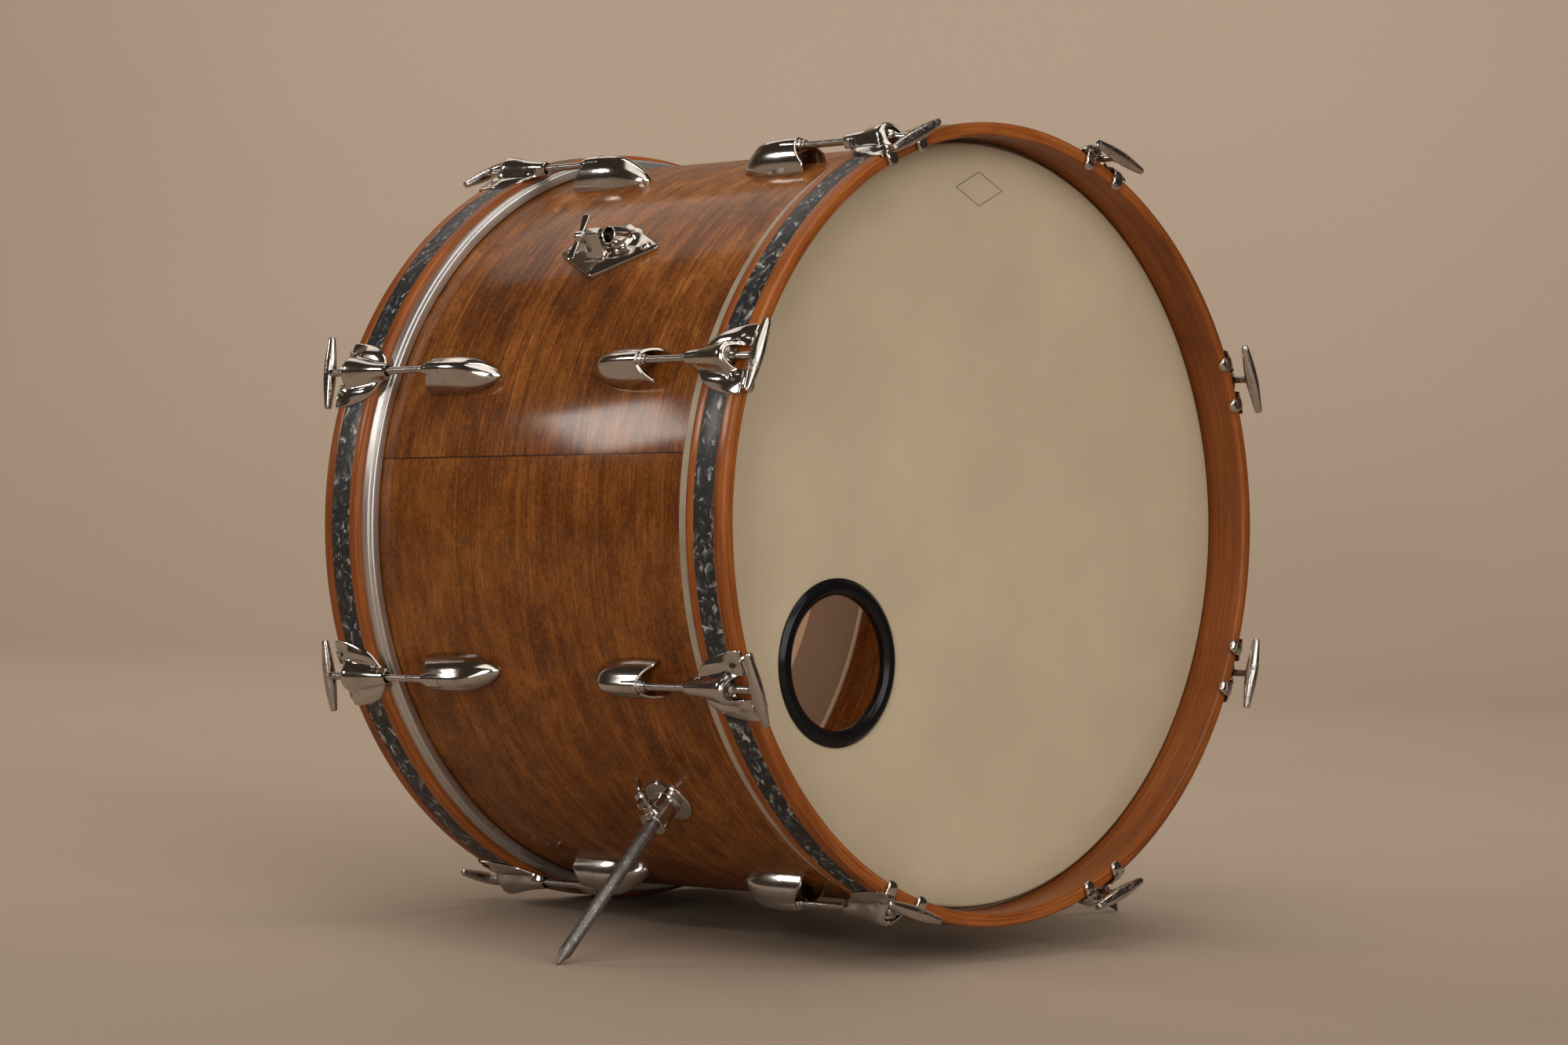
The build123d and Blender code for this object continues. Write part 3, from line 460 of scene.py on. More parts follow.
def chrome(name, tint=(0.53, 0.495, 0.46), rough=0.1, worn=0.0):
    """Polished metal with faint scratches; worn adds pits and dull patches."""
    m = Nodes(name, Metallic=1.0)
    here = m.add("TexCoord", {}, out=3)
    haze = m.noise(here, 45, 4, 0.6)
    scratch = m.noise(m.add("Mapping", {"Vector": here, "Scale": (900, 120, 400)}), 1, 2, 0.5)
    dull = m.math("ADD", m.spread(haze, 0.4, 0.8, 0.0, 0.12), m.spread(scratch, 0.6, 0.8, 0.0, 0.06))
    roughness = m.math("ADD", dull, rough)
    colour = m.mix(m.spread(haze, 0.5, 0.75), tint, tuple(c * 0.72 for c in tint))
    height = m.noise(here, 230, 3, 0.5)
    if worn:
        pits = m.noise(here, 420, 5, 0.7, 0.4)
        patch = m.noise(here, 70, 4, 0.65)
        spots = m.math("MULTIPLY", m.spread(pits, 0.5, 0.62), m.spread(patch, 0.47, 0.62))
        spots = m.math("MULTIPLY", spots, worn, clamp=True)
        colour = m.mix(spots, colour, (0.075, 0.055, 0.04))
        roughness = m.math("ADD", roughness, m.math("MULTIPLY", spots, 0.35))
        m.set(Metallic=m.spread(spots, 0.0, 1.0, 1.0, 0.5))
        height = m.math("SUBTRACT", height, m.math("MULTIPLY", spots, 2.0))
    m.set(Base_Color=colour, Roughness=roughness)
    m.bump(height, 0.00012, 0.5)
    return m.material


def spun_aluminium():
    m = Nodes("spun_aluminium", Metallic=1.0, Roughness=0.34, Anisotropic=0.4)
    along, axial, radius = m.round_the_drum()
    lines = m.noise(m.stretch(along, m.math("ADD", axial, radius), 1.0, 9, 5200), 1, 3, 0.6)
    stain = m.noise(m.drum_point(), 26, 4, 0.6)
    colour = m.mix(m.spread(lines, 0.3, 0.7), (0.56, 0.55, 0.53), (0.72, 0.71, 0.69))
    colour = m.mix(m.spread(stain, 0.55, 0.8, 0.0, 0.5), colour, (0.34, 0.32, 0.29))
    m.set(Base_Color=colour, Roughness=m.spread(lines, 0.3, 0.7, 0.3, 0.45))
    m.bump(lines, 0.0001, 0.4)
    return m.material


def flat_metal():
    m = Nodes("flat_metal", Metallic=0.25, Roughness=0.5)
    stain = m.noise(m.drum_point(), 30, 4, 0.6)
    grain = m.noise(m.drum_point(), 700, 2, 0.5)
    colour = m.mix(m.spread(stain, 0.4, 0.75), (0.44, 0.37, 0.28), (0.33, 0.27, 0.2))
    m.set(Base_Color=m.mix(m.spread(grain, 0.5, 0.8, 0.0, 0.25), colour, (0.2, 0.16, 0.12)))
    m.bump(grain, 0.00005, 0.3)
    return m.material


def worn_steel():
    m = Nodes("worn_steel", Metallic=0.85)
    here = m.add("TexCoord", {}, out=3)
    rub = m.noise(here, 55, 5, 0.65, 0.4)
    grit = m.noise(here, 900, 3, 0.6)
    marks = m.noise(m.add("Mapping", {"Vector": here, "Scale": (500, 60, 500)}), 1, 3, 0.6)
    colour = m.ramp(rub, (0.35, (0.1, 0.092, 0.084)), (0.55, (0.18, 0.168, 0.155)), (0.75, (0.3, 0.28, 0.26)))
    colour = m.mix(m.spread(marks, 0.58, 0.7, 0.0, 0.4), colour, (0.36, 0.34, 0.31))
    specks = m.noise(here, 520, 2, 0.6)
    colour = m.mix(m.spread(specks, 0.6, 0.68, 0.0, 0.6), colour, (0.5, 0.47, 0.44))
    m.set(Base_Color=colour, Roughness=m.spread(rub, 0.3, 0.7, 0.55, 0.38))
    m.bump(m.math("ADD", grit, marks), 0.0001, 0.5)
    return m.material


def black_plastic():
    m = Nodes("black_plastic", Specular_IOR_Level=0.22, Coat_Weight=0.06, Coat_Roughness=0.1)
    here = m.add("TexCoord", {}, out=3)
    dust = m.noise(here, 260, 5, 0.7)
    haze = m.noise(here, 20, 3, 0.5)
    colour = m.mix(m.spread(dust, 0.6, 0.75, 0.0, 0.07), (0.005, 0.005, 0.006), (0.12, 0.1, 0.08))
    m.set(Base_Color=colour, Roughness=m.spread(haze, 0.3, 0.7, 0.16, 0.3))
    m.bump(m.noise(here, 120, 2), 0.0002, 0.15)
    return m.material


WOOD = shell_wood()
HOOP_WOOD = hoop_wood()
PEARL = pearl()
CREAM = film("cream_film", (0.545, 0.468, 0.338), 0.45, marked=True)
TAN = film("tan_film", (0.6, 0.46, 0.33), 0.5, through=0.2)
DAMPER = film("damping_film", (0.3, 0.21, 0.15), 0.5)
CHROME = chrome("chrome")
HANDLE_CHROME = chrome("worn_chrome", (0.5, 0.46, 0.43), 0.13, worn=0.75)
STEEL = chrome("plated_steel", (0.5, 0.47, 0.43), 0.22)
SPUN = spun_aluminium()
FLAT = flat_metal()
SPUR_STEEL = worn_steel()
BLACK = black_plastic()

# ---- Shell, hoops and heads

LATHE_STEPS = 288


def ring(name, corners, end, material, slot, nodes, segments=LATHE_STEPS, angle=35):
    """A closed ring about the drum's axis from (radius, distance, rounding) corners."""
    line = rounded([*corners, corners[0]])
    form = Form().lathe(line, segments=segments)
    return make(name, form, end_frame(end), "drum", material, nodes, angle=angle)


shell_line = rounded(
    [
        (SHELL_IN, 0, 0),
        (SHELL_IN, 173.8, 0),
        (275.8, SHELL_HALF, 0.3),
        (SHELL_R, SHELL_HALF, 3.0),
        (SHELL_R, 0, 0),
        (SHELL_R, -SHELL_HALF, 3.0),
        (275.8, -SHELL_HALF, 0.3),
        (SHELL_IN, -173.8, 0),
        (SHELL_IN, 0, 0),
    ]
)
shell_form = Form().lathe(shell_line, segments=LATHE_STEPS)
make("drum_shell", shell_form, end_frame("batter"), "drum", WOOD, ["shell"])

for end in ENDS:
    ring(
        f"{end}_hoop_wood",
        [
            (HOOP_IN, 190, 0),
            (HOOP_IN, HOOP_BACK, 2.6),
            (HOOP_OUT, HOOP_BACK, 3.2),
            (HOOP_OUT, 180.0, 0.3),
            (HOOP_OUT - 0.8, 180.0, 0),
            (HOOP_OUT - 0.8, 199.4, 0),
            (HOOP_OUT, 199.4, 0.3),
            (HOOP_OUT, END_FACE, 3.6),
            (HOOP_IN, END_FACE, 3.0),
        ],
        end,
        HOOP_WOOD,
        "hoop_wood",
        [f"{end}_hoop"],
    )
    ring(
        f"{end}_inlay_band",
        [
            (HOOP_OUT - 0.78, 190, 0),
            (HOOP_OUT - 0.78, 180.1, 0),
            (HOOP_OUT - 0.2, 180.1, 0.15),
            (HOOP_OUT - 0.2, 199.3, 0.15),
            (HOOP_OUT - 0.78, 199.3, 0),
        ],
        end,
        PEARL,
        "inlay",
        [f"{end}_hoop_inlay"],
    )

ring(
    "resonant_flesh_ring",
    [(280.3, 166, 0), (280.3, 162.1, 0.4), (287.8, 162.1, 0.8), (287.8, 171.3, 0.4), (280.3, 171.3, 0)],
    "resonant",
    FLAT,
    "flesh_metal",
    ["resonant_flesh_hoop"],
)
ring(
    "batter_flesh_ring",
    [
        (280.3, 166, 0),
        (280.3, 159.6, 0.6),
        (286.6, 159.6, 1.2),
        (287.2, 162.0, 0.3),
        (286.4, 162.5, 0.2),
        (286.4, 163.2, 0.2),
        (287.9, 163.6, 0.7),
        (287.9, 171.3, 0.5),
        (280.3, 171.3, 0),
    ],
    "batter",
    SPUN,
    "flesh_metal",
    ["batter_flesh_hoop"],
)


def head_form(hole=None):
    """Film over the bearing edge, with an optional round hole (x, y, radius)."""
    low, high = SHELL_HALF, SHELL_HALF + FILM
    edge = [(BEARING_EDGE, low), (278.2, 177.55), (279.2, 176.5), (279.6, 175.0), (279.6, 164.0)]
    over = [(BEARING_EDGE, high)] + [(r + 0.25, z + 0.2) for r, z in edge[1:3]]
    over += [(279.9, 175.0), (279.9, 164.0)]
    turns = [2 * math.pi * k / LATHE_STEPS for k in range(LATHE_STEPS)]

    def circle(r, z):
        return [Vector((r * math.cos(t), r * math.sin(t), z)) for t in turns]

    def face(z):
        """Rows from the hole, or from the middle, out to the bearing edge."""
        x, y, r = hole or (0.0, 0.0, 1.0)
        start = [Vector((x + r * math.cos(t), y + r * math.sin(t), z)) for t in turns]
        rim = circle(BEARING_EDGE, z)
        return [[p.lerp(q, k / 8) for p, q in zip(start, rim)] for k in range(8)]

    top, bottom = face(high), face(low)
    collar = [circle(r, z) for r, z in over + list(reversed(edge))]
    rows = top + collar + list(reversed(bottom))
    if hole:
        return Form().rows(rows + [top[0]], wrap=True)
    form = Form().rows(rows, wrap=True)
    return form.cap(top[0]).cap(bottom[0])


ported = head_form((PORT_X, PORT_Z, PORT_R))
make("resonant_film", ported, end_frame("resonant"), "drum", CREAM, ["resonant_head"])
make("batter_film", head_form(), end_frame("batter"), "drum", TAN, ["batter_head"])
ring(
    "damping_ring",
    [(214, 177.5, 0), (214, 177.35, 0), (270, 177.35, 0), (270, 177.72, 0), (214, 177.72, 0)],
    "batter",
    DAMPER,
    "damping_film",
    ["batter_damping_ring"],
)

# ---- Port ring

port_line = rounded(
    [
        (48.0, 177.0, 0),
        (48.0, 174.6, 0.5),
        (51.3, 174.6, 0.4),
        (51.3, 178.1, 0),
        (60.0, 178.1, 0.3),
        (60.0, 179.4, 0.7),
        (56.6, 181.9, 2.6),
        (51.4, 182.1, 2.2),
        (48.0, 179.6, 1.6),
        (48.0, 177.0, 0),
    ],
    6,
)
port_place = end_frame("resonant") @ Matrix.Translation((PORT_X, PORT_Z, 0))
port_form = Form().lathe(port_line, segments=128)
make("port_trim", port_form, port_place, "drum", BLACK, ["port_ring"])
backing = [(51.6, 176, 0), (51.6, 174.9, 0.3), (58.8, 174.9, 0.6)]
backing += [(58.8, 177.7, 0.2), (51.6, 177.7, 0), (51.6, 176, 0)]
backing_form = Form().lathe(rounded(backing), segments=96)
make("port_trim_back", backing_form, port_place, "drum", BLACK, ["port_ring_backing"])

# ---- Claws


def claw_form():
    """X out of the drum, Y along the rim, Z out through the end."""
    form = Form()
    # Half-width of the whole claw, then radius of its sleeve, by distance along the axis.
    widths = [(156.8, 4.2), (158, 5.2), (164.5, 6.2), (167, 8.4), (169.5, 12.2), (173, 16.6)]
    widths += [(178, 20.0), (184, 22.4), (191, 24.3), (199, 25.6), (208, 26.4), (211.6, 25.8)]
    bells = [(156.8, 4.5), (158, 5.2), (165, 5.9), (172, 6.7), (178, 7.7), (184, 9.0)]
    bells += [(189, 10.2), (194, 11.2), (199, 12.0), (212, 12.4)]
    levels = [156.8, 157.3, 158, 160, 162.5, 164.5, 166, 167.5, 169, 170.5, 172.5, 175, 178, 181, 184, 187]
    levels += [190, 193, 195.4, 197.0, 198.2, 199.0, 200.0, 201.4, 203.0, 204.8, 206.6, 208.4, 209.8, 210.8]
    columns = 17
    arch_apex, arch_half, arch_length = 198.2, 9.6, 7.4

    def inner(z):
        """Half-width of the arch in front of the rod's collar."""
        t = min(1.0, max(0.0, (z - arch_apex) / arch_length))
        return arch_half * math.sqrt(max(0.0, 1 - (1 - t) ** 2))

    def top(y, z, w):
        rim = math.sqrt(HOOP_OUT**2 - y * y)
        edge = min(1.0, abs(y) / w)
        thick = 1.9 - 1.2 * smoothstep(190, 207, z)
        plate = rim + 0.6 + thick * math.sqrt(max(0.0, 1 - edge**5))
        # Crowned wings, and a bulb where each meets the arch.
        crown = 2.2 * smoothstep(168, 182, z) * smoothstep(211, 192, z) * (1 - edge**6)
        plate += crown * math.exp(-(((abs(y) - 16.5) / 6.0) ** 2))
        plate += 2.4 * math.exp(-(((abs(y) - 13.8) / 3.2) ** 2) - ((z - 204.5) / 4.2) ** 2)
        bell = between(bells, z)
        sink = 12.5 * smoothstep(195.0, 210, z)
        round_top = ROD_CIRCLE - sink + math.sqrt(bell * bell - y * y) if abs(y) < bell else -1e3
        if round_top < 0:
            return plate
        if z < 171:
            blend = smoothstep(163, 171, z)
            plate = ROD_CIRCLE - 1.0 + (plate - ROD_CIRCLE + 1.0) * blend
        k = 1.6
        high, low = max(round_top, plate), min(round_top, plate)
        return high + k * math.exp(-(high - low) / k) * 0.45

    def under(y, z):
        rim = math.sqrt((HOOP_OUT + 0.12) ** 2 - y * y)
        bell = between(bells, z)
        tube = ROD_CIRCLE - math.sqrt(max(0.0, bell * bell - y * y))
        return tube + (rim - tube) * smoothstep(165.5, 170.5, z)

    for side in (-1, 1):
        upper, lower = [], []
        for z in levels:
            w, a = between(widths, z), inner(z)
            up, down = [], []
            for j in range(columns):
                t = j / (columns - 1)
                y = a + (w - a) * (math.sin(t * math.pi / 2) * 0.45 + t * 0.55)
                up.append((top(y, z, w), side * y, z))
                down.append((min(under(y, z), top(y, z, w) - 0.6), side * y, z))
            upper.append(up)
            lower.append(down)
        # Turn the front over the hoop's face.
        for drop, z in ((0.8, 211.2), (2.4, 211.35)):
            z_row = upper[-1] if drop == 0.8 else upper[len(levels)]
            upper.append([(x - drop, y, z) for x, y, _ in z_row])
        last = [(min(x, 291.2), y, 211.35) for x, y, z in upper[-1]]
        upper.append(last)
        upper.append([(290.9, y, 210.4) for _, y, _ in last])
        lower[-1] = [(x, y, 209.7) for x, y, _ in lower[-1]]
        lower.append([(290.9, y, 209.65) for _, y, _ in last])
        form.rows(upper, flip=side < 0)
        form.rows(lower, flip=side > 0)
        n = len(lower)
        form.rows([[row[-1] for row in upper][:n], [row[-1] for row in lower]], flip=side > 0)
        arch = levels.index(arch_apex)
        rim = [row[0] for row in upper][arch:n]
        base = [row[0] for row in lower][arch:n]
        # The arch has a thick rounded lip, hollow behind it.
        wall = [rim]
        for drop, reach in ((-0.35, 0.35), (0.1, 1.1), (1.1, 1.3), (1.9, 0.7)):
            row = []
            for x, y, z in rim:
                t = min(1.0, (z - arch_apex) / arch_length)
                row.append((x - drop, y - side * reach * math.sqrt(1 - (1 - t) ** 2), z + reach * (1 - t)))
            wall.append(row)
        wall.append([(x - 2.4, y, z - 5.0 * (1 - smoothstep(arch_apex, 204, z))) for x, y, z in rim])
        form.rows([*wall, base], flip=side < 0)
        # The tab that hooks over the hoop's face.
        tab = []
        for x, half, low, high in (
            (293.4, 3.2, 209.8, 211.4),
            (291.6, 4.6, 209.75, 212.3),
            (289.0, 5.2, 209.7, 212.9),
            (285.8, 5.5, 209.7, 213.4),
            (282.6, 5.2, 209.6, 213.3),
            (280.6, 4.4, 209.2, 212.7),
            (279.5, 3.0, 209.0, 211.8),
            (279.1, 1.4, 209.2, 210.8),
        ):
            row = []
            for k in range(16):
                a = 2 * math.pi * k / 16
                y = half * squared(math.cos(a), 0.7)
                z = (low + high) / 2 + (high - low) / 2 * squared(math.sin(a), 0.7)
                row.append((x, side * TAB_OFFSET + y, z))
            tab.append(row)
        form.rows(tab, wrap=True)
        form.cap(tab[0])
        form.cap(tab[-1])
    form.lathe([(3.1, 172), (3.1, 156.7), (4.4, 156.7)], Matrix.Translation((ROD_CIRCLE, 0, 0)), 24)
    return form


CLAW = claw_form()
for end in ENDS:
    for k, angle in enumerate(PLACES):
        name, place, nodes = f"{end}_claw_{k + 1}", end_frame(end, angle), [f"{end}_claws"]
        make(name, CLAW, place, "drum", CHROME, nodes, angle=50, subdivide=1)

# ---- Lugs and their nuts


def lug_form():
    form = Form()
    # Half-width and height from the nose, at 0, to the mouth, at 1.
    half = [(0.0, 1.2), (0.02, 3.6), (0.06, 6.0), (0.12, 8.4), (0.2, 10.6)]
    half += [(0.32, 12.7), (0.48, 13.9), (0.7, 14.1), (1.0, 13.4)]
    high = [(0.0, 1.0), (0.02, 4.2), (0.06, 7.4), (0.12, 10.8), (0.2, 14.2)]
    high += [(0.32, 17.8), (0.46, 19.9), (0.62, 20.9), (0.8, 21.2), (1.0, 20.8)]
    nose = 51.2

    def mouth(height):
        return 119.4 - 10.6 * min(1.0, max(0.0, (height - 7.0) / 14.5))

    def wall(t, inset):
        row = []
        w, h = between(half, t) - inset, between(high, t) - inset
        for j in range(33):
            a = math.pi * (j / 32 - 0.5)
            y = w * math.sin(a)
            lift = h * math.cos(a) ** 0.82 if math.cos(a) > 1e-6 else 0.0
            tube = (1.6 - 0.3 * inset) * math.exp(-((y / 4.4) ** 4)) * smoothstep(0.1, 0.4, t)
            lift += tube * min(1.0, h / 18)
            z = nose + (mouth(lift) - nose) * t
            base = math.sqrt(SHELL_R**2 - y * y) + 0.05
            row.append((base + lift, y, z))
        return row

    steps = [0, 0.01, 0.025, 0.045, 0.07, 0.1, 0.14, 0.19, 0.25, 0.32]
    steps += [0.4, 0.5, 0.6, 0.7, 0.8, 0.88, 0.94, 0.975, 0.992]
    outside = [wall(t, 0) for t in steps]
    edge = [wall(1.0, 0.35), wall(1.0, 1.5), wall(0.99, 1.9)]
    inside = [wall(t, 1.9) for t in (0.94, 0.85, 0.75, 0.6)]
    form.rows(outside + edge + inside)
    form.cap(wall(0.6, 1.9))
    # Nut tube under the ridge.
    tube = rounded(
        [
            (2.9, 90, 0),
            (2.9, 116.8, 0.3),
            (3.9, 116.8, 0.4),
            (3.9, 113.6, 0.2),
            (4.9, 113.4, 0.4),
            (4.9, 110.6, 0.3),
            (4.3, 110.4, 0.2),
            (4.3, 95, 0),
        ]
    )
    form.lathe(tube, Matrix.Translation((ROD_CIRCLE, 0, 0)), 32)
    sleeve = rounded([(4.5, 96, 0), (4.5, 110.6, 0.3), (6.1, 110.2, 0.5), (6.1, 96, 0)])
    form.lathe(sleeve, Matrix.Translation((ROD_CIRCLE, 0, 0)), 32)
    return form


LUG = lug_form()
for end in ENDS:
    for k, angle in enumerate(PLACES):
        nodes = [f"{end}_lugs", f"{end}_swivel_nuts"]
        make(f"{end}_lug_{k + 1}", LUG, end_frame(end, angle), "drum", CHROME, nodes, angle=55)

# ---- Tension rods


def rod_form():
    form = Form()
    around = 20
    rows = [[(0, 0, 88.2)] * around]
    z = 88.6
    while z < 157.6:
        row = []
        for k in range(around):
            a = 2 * math.pi * k / around
            phase = (z / THREAD_PITCH - k / around) % 1.0
            r = ROD_R - THREAD_DEPTH * abs(2 * phase - 1) * smoothstep(157.6, 155.0, z)
            row.append((r * math.cos(a), r * math.sin(a), z))
        rows.append(row)
        z += THREAD_PITCH / 4
    form.rows(rows, wrap=True)
    shank = rounded(
        [
            (ROD_R, 157.0, 0),
            (ROD_R, 189.6, 0.2),
            (4.1, 190.2, 0.4),
            (4.1, 196.0, 0.4),
            (3.6, 196.6, 0.3),
            (4.25, 197.2, 0.4),
            (4.25, 200.4, 0.7),
            (3.1, 202.6, 0.6),
            (2.75, 204.4, 0.3),
            (2.75, HANDLE_Z - 6.0, 0.4),
            (4.2, HANDLE_Z - 3.0, 0),
            (4.2, HANDLE_Z, 0),
        ]
    )
    form.lathe(shank, segments=28)
    half = HANDLE_HALF
    spindle = [(0.0, -half), (1.7, -half), (2.35, -half + 0.25), (2.6, -half + 0.9)]
    for k in range(1, 24):
        t = -1 + 2 * k / 24
        spindle.append((2.7 + 2.15 * math.cos(t * math.pi / 2) ** 1.15, t * (half - 0.6)))
    spindle += [(2.6, half - 0.9), (2.35, half - 0.25), (1.7, half), (0.0, half)]
    turn = Matrix.Translation((0, 0, HANDLE_Z)) @ Matrix.Rotation(math.radians(-90), 4, "X")
    form.lathe(spindle, turn, 28)
    return form


ROD = rod_form()
HANDLE_TURNS = {"resonant": (-3, 3, 3, 0, -2, 6, -4, 9), "batter": (-18, 0, 4, -6, 7, -3, -10, 13)}
for end in ENDS:
    for k, angle in enumerate(PLACES):
        name = f"{end}_tension_rod_{k + 1}"
        turn = Matrix.Rotation(math.radians(HANDLE_TURNS[end][k]), 4, "Z")
        place = end_frame(end, angle) @ Matrix.Translation((ROD_CIRCLE, 0, 0)) @ turn
        make(f"{end}_t_rod_{k + 1}", ROD, place, name, HANDLE_CHROME, [name])

# ---- Spurs


def spur_bracket_form(up):
    """Z outwards along the rod; up is the side of the wing bolt along Y."""
    form = Form()
    plate = []
    for r, lift in ((9.0, 2.3), (17.6, 2.2), (18.8, 1.9), (19.4, 1.2), (19.5, 0.6)):
        row = []
        for k in range(64):
            a = 2 * math.pi * k / 64
            x, y = r * math.cos(a), r * math.sin(a)
            # The plate is flat on top, and its edge follows the shell.
            level = math.sqrt(SHELL_R**2 - y * y) if r > 19 else SHELL_R
            row.append((x, y, level + lift))
        plate.append(row)
    plate.append([(x, y, math.sqrt(SHELL_R**2 - y * y) + 0.02) for x, y, _ in plate[-1]])
    form.rows(plate, wrap=True)
    tube = rounded(
        [(11.2, 281.4, 0), (10.2, 282.2, 0.8), (9.55, 283.4, 0.6), (9.55, 302.5, 0.3), (5.0, 302.5, 0)]
    )
    form.lathe(tube, segments=48)
    side = Matrix.Translation((0, 0, SPUR_BOLT_HIGH)) @ Matrix.Rotation(math.radians(-90 * up), 4, "X")
    boss = rounded([(7.4, 6.0, 0), (5.6, 8.8, 1.0), (4.6, 10.2, 0.6), (4.6, 14.4, 0.5), (3.1, 14.4, 0)])
    form.lathe(boss, side, 32)
    return form


def wing_form(half, lean=1.0):
    """Z from the bolt's tip to its head; the wings stand along X."""
    form = Form()
    # Reach along the wing, half height and half thickness.
    shape = [(0.18, 1.9, 1.2), (0.3, 2.7, 1.35), (0.5, 3.2, 1.15), (0.72, 3.7, 1.0)]
    shape += [(0.88, 3.8, 1.05), (0.96, 3.2, 1.1), (1.0, 1.8, 0.8)]
    for side in (-1, 1):
        rows = []
        for t, tall, thick in shape:
            middle = 4.0 + 3.2 * t * lean
            row = []
            for k in range(14):
                a = 2 * math.pi * k / 14
                across, up = squared(math.cos(a), 0.75), squared(math.sin(a), 0.75)
                row.append((side * half * t, thick * across, middle + tall * up))
            rows.append(row)
        form.rows(rows, wrap=True, flip=side < 0)
        form.cap(rows[-1])
    barrel = [(2.9, -13.0, 0), (2.9, 0, 0), (4.5, 0, 0.5), (4.5, 6.2, 1.6), (2.6, 8.3, 1.0), (0, 8.4, 0)]
    form.lathe(rounded(barrel), segments=32)
    return form


for side, angle, up in (("left", 225.0, 1), ("right", 315.0, -1)):
    seat = seat_frame(angle, SPUR_FORWARD)
    make(f"{side}_spur_seat", spur_bracket_form(up), seat, "drum", CHROME, [f"{side}_spur_bracket"])
    disc_line = [(5.0, 302.6, 0), (10.1, 302.6, 0.3), (10.1, 303.55, 0.4), (5.0, 303.55, 0.2), (5.0, 302.6, 0)]
    disc = Form().lathe(rounded(disc_line), segments=64)
    make(f"{side}_spur_disc", disc, seat, "drum", CHROME, [f"{side}_spur_end_disc"])
    rod = rounded([(0, 156.1, 0), (4.75, 156.1, 0.5), (4.75, 424.7, 0.4), (0.6, 435.4, 0.5), (0, 435.9, 0)])
    name = f"{side}_spur_rod"
    make(f"{side}_spur_leg", Form().lathe(rod, segments=40), seat, name, SPUR_STEEL, [name])
    bolt = seat @ Matrix.Translation((0, up * 18.0, SPUR_BOLT_HIGH))
    bolt = bolt @ Matrix.Rotation(math.radians(-90 * up), 4, "X")
    bolt = bolt @ Matrix.Rotation(math.radians(127 if side == "left" else 53), 4, "Z")
    name = f"{side}_spur_wing_bolt"
    make(f"{side}_spur_wing", wing_form(16.0), bolt, name, CHROME, [name])

# ---- Tom mount, X towards the resonant end and Z out of the shell


